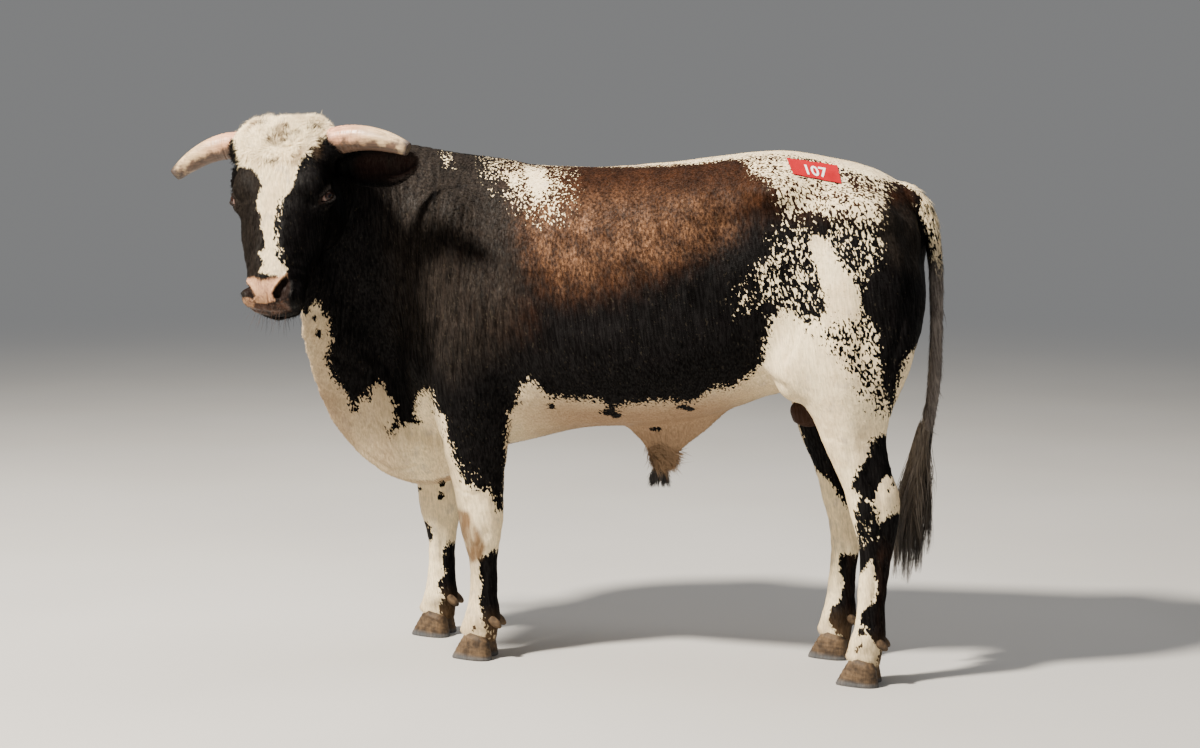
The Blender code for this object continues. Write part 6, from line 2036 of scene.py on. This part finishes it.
def build_coat(name, hide, density):
    coat = COATS[name]
    draw = np.random.default_rng(SEED + 100 + coat.seed)
    roots = hide.roots(coat.count, density, draw)
    way = hair_way(roots["place"], roots["normal"])
    if coat.wave:
        swirl = coat.wave * ripple(roots["place"], 0.035, 31)
        way = unit(way + np.cross(roots["normal"], way) * swirl[:, None])
    length = coat.length * np.exp(draw.normal(0, coat.spread, coat.count))
    width = coat.width * draw.uniform(0.7, 1.3, coat.count)
    lift = np.maximum(draw.normal(coat.lift, coat.lift * 0.35, coat.count), 0.02)
    if coat.wave:
        lift = np.clip(lift * (1 + 0.5 * ripple(roots["place"], 0.028, 32)), 0.03, 1.8 * coat.lift)
    return tuft_object(name, roots, way, length, width, lift, draw, coat.curl)


def build_whiskers(hide):
    """Fine bristles on the muzzle, hanging a little at their tips."""
    draw = np.random.default_rng(SEED + 90)
    _, down, out = head_parts(hide.places)
    muzzle = near_head(hide.places, 0.01) * rise(down, 0.43, 0.48) * rise(out, -0.02, -0.06)
    roots = hide.roots(WHISKERS, muzzle * (1 - hide.values["pad"]) * (1 - hide.values["hollow"]), draw)
    t = np.linspace(0, 1, 7)[None, :, None]
    size = draw.uniform(0.018, 0.042, WHISKERS)[:, None, None]
    way = (roots["normal"] + DOWN * 0.4)[:, None]
    paths = roots["place"][:, None] + size * (way * t - UP * 0.25 * t ** 2)
    across = unit(np.cross(roots["normal"], UP))
    return strand_object("whiskers", paths, across, np.full(WHISKERS, 0.0005), roots)


def dress(skin, material):
    """All the short coat, rooted on the skin."""
    hide = Hide(skin)
    pieces = [build_coat(name, hide, density) for name, density in coat_densities(hide).items()]
    pieces.append(build_whiskers(hide))
    for piece in pieces:
        piece.data.materials.append(material)
    return pieces


def ear_across(places):
    """How far across its ear a point lies, from -1 at the lower rim to 1 at the upper."""
    result = np.zeros(len(places))
    side = head_parts(places)[0]
    for ear_side, sign in SIDES:
        along, across, _ = ear_axes(ear_side)
        offset = places - twin_point(sign, EAR_ROOT)
        t = np.clip(offset @ along / EAR_LENGTH, 0.02, 0.985)
        rim = np.ones(len(t))
        half = np.linalg.norm(ear_sheet(ear_side, t, rim) - ear_sheet(ear_side, t, -rim), axis=1) / 2
        value = (offset @ across) / np.maximum(half, 0.006)
        end = rise(t, 0.90, 0.98)
        value = value * (1 - end) + 0.92 * end
        result = np.where(np.sign(side) == sign, value, result)
    return result


# The studio

FLOOR_RADIUS = 60.0
# Each light's size in metres, power in watts, place, target and colour
LIGHTS = {"key": (0.8, 2450, (-3.2, -3.5, 6.6), (0.0, 0.0, 0.8), (1.0, 0.92, 0.80)),
          "fill": (3.0, 40, (5.5, -5.0, 2.6), (0.1, 0.0, 0.8), (0.93, 0.96, 1.0)),
          "top": (3.0, 120, (0.6, 1.2, 5.2), (0.0, 0.0, 0.9), (1.0, 0.98, 0.96))}


def add_light(name, size, energy, place, target, colour):
    data = bpy.data.lights.new(name, "AREA")
    data.shape = "DISK"
    data.size = size
    data.energy = energy
    data.color = colour
    lamp = add_object(name, data)
    lamp.location = place
    lamp.rotation_euler = (Vector(target) - Vector(place)).to_track_quat("-Z", "Y").to_euler()


def build_studio():
    bm = bmesh.new()
    bmesh.ops.create_circle(bm, cap_ends=True, segments=96, radius=FLOOR_RADIUS)
    mesh = bpy.data.meshes.new("studio_floor")
    bm.to_mesh(mesh)
    bm.free()
    floor = add_object("studio_floor", mesh)
    floor.data.materials.append(floor_material())
    for name, light in LIGHTS.items():
        add_light(name, *light)
    world = bpy.data.worlds.new("studio")
    world.use_nodes = True
    sky = world.node_tree.nodes["Background"]
    sky.inputs["Color"].default_value = (*BACKGROUND, 1.0)
    sky.inputs["Strength"].default_value = BACKGROUND_STRENGTH
    bpy.context.scene.world = world


def build_camera():
    data = bpy.data.cameras.new("camera")
    data.sensor_fit = "HORIZONTAL"
    data.sensor_width = 36.0
    data.lens = data.sensor_width * FOCAL_PIXELS / PHOTO_WIDTH
    camera = add_object("camera", data)
    turn = Matrix((VIEW_RIGHT, VIEW_UP, -VIEW_FORWARD)).transposed().to_4x4()
    camera.matrix_world = Matrix.Translation(Vector(VIEW_FROM + SHIFT)) @ turn
    bpy.context.scene.camera = camera


def finish_skin(skin, material):
    """Gives the skin its markings, its map and its material."""
    places = read_places(skin.data) - SHIFT
    for name, values in markings(places).items():
        add_value(skin.data, name, values)
    set_map(skin.data, corner_map(places, read_places(skin.data, "normal"), *mesh_corners(skin.data)))
    skin.data.shade_smooth()
    skin.data.materials.clear()
    skin.data.materials.append(material)


def main():
    skin = build_skin()
    carve(skin)
    finish_skin(skin, coat_material("coat", True))
    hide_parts(*FLESH, "ear_left", "ear_right")
    pieces = [(piece, "hide") for piece in [skin] + dress(skin, coat_material("coat_hair", False))]

    horn, hoof, eye = horn_material(), hoof_material(), eye_material()
    for side, _ in SIDES:
        piece = build_horn(side, horn)
        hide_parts("horn_" + side)
        ball = build_eye(side, eye)
        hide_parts("eye_" + side)
        pieces += [(piece, "horn"), (ball, "eye")]
    for foot in FEET:
        for piece in build_claws(foot, hoof) + build_dewclaws(foot, hoof):
            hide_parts(piece.name.removesuffix("_horn"))
            pieces.append((piece, "hoof"))
    brush = build_switch(hair_material("brush", *BRUSH_HAIR))
    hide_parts("tail_switch")
    tuft = build_sheath_tuft(hair_material("dark_hair", *DARK_HAIR))
    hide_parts("sheath_tuft")
    lashes = build_lashes(hair_material("lash", *LASH_HAIR))
    tag, grid = build_tag(skin, paper_material())
    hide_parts("rump_tag")
    number = build_number(grid, ink_material())
    pieces += [(brush, "hair"), (tuft, "hair"), (lashes, "hair"), (tag, "tag"), (number, "tag")]
    for piece, slot in pieces:
        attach(piece, "root")
    build_studio()
    build_camera()


main()
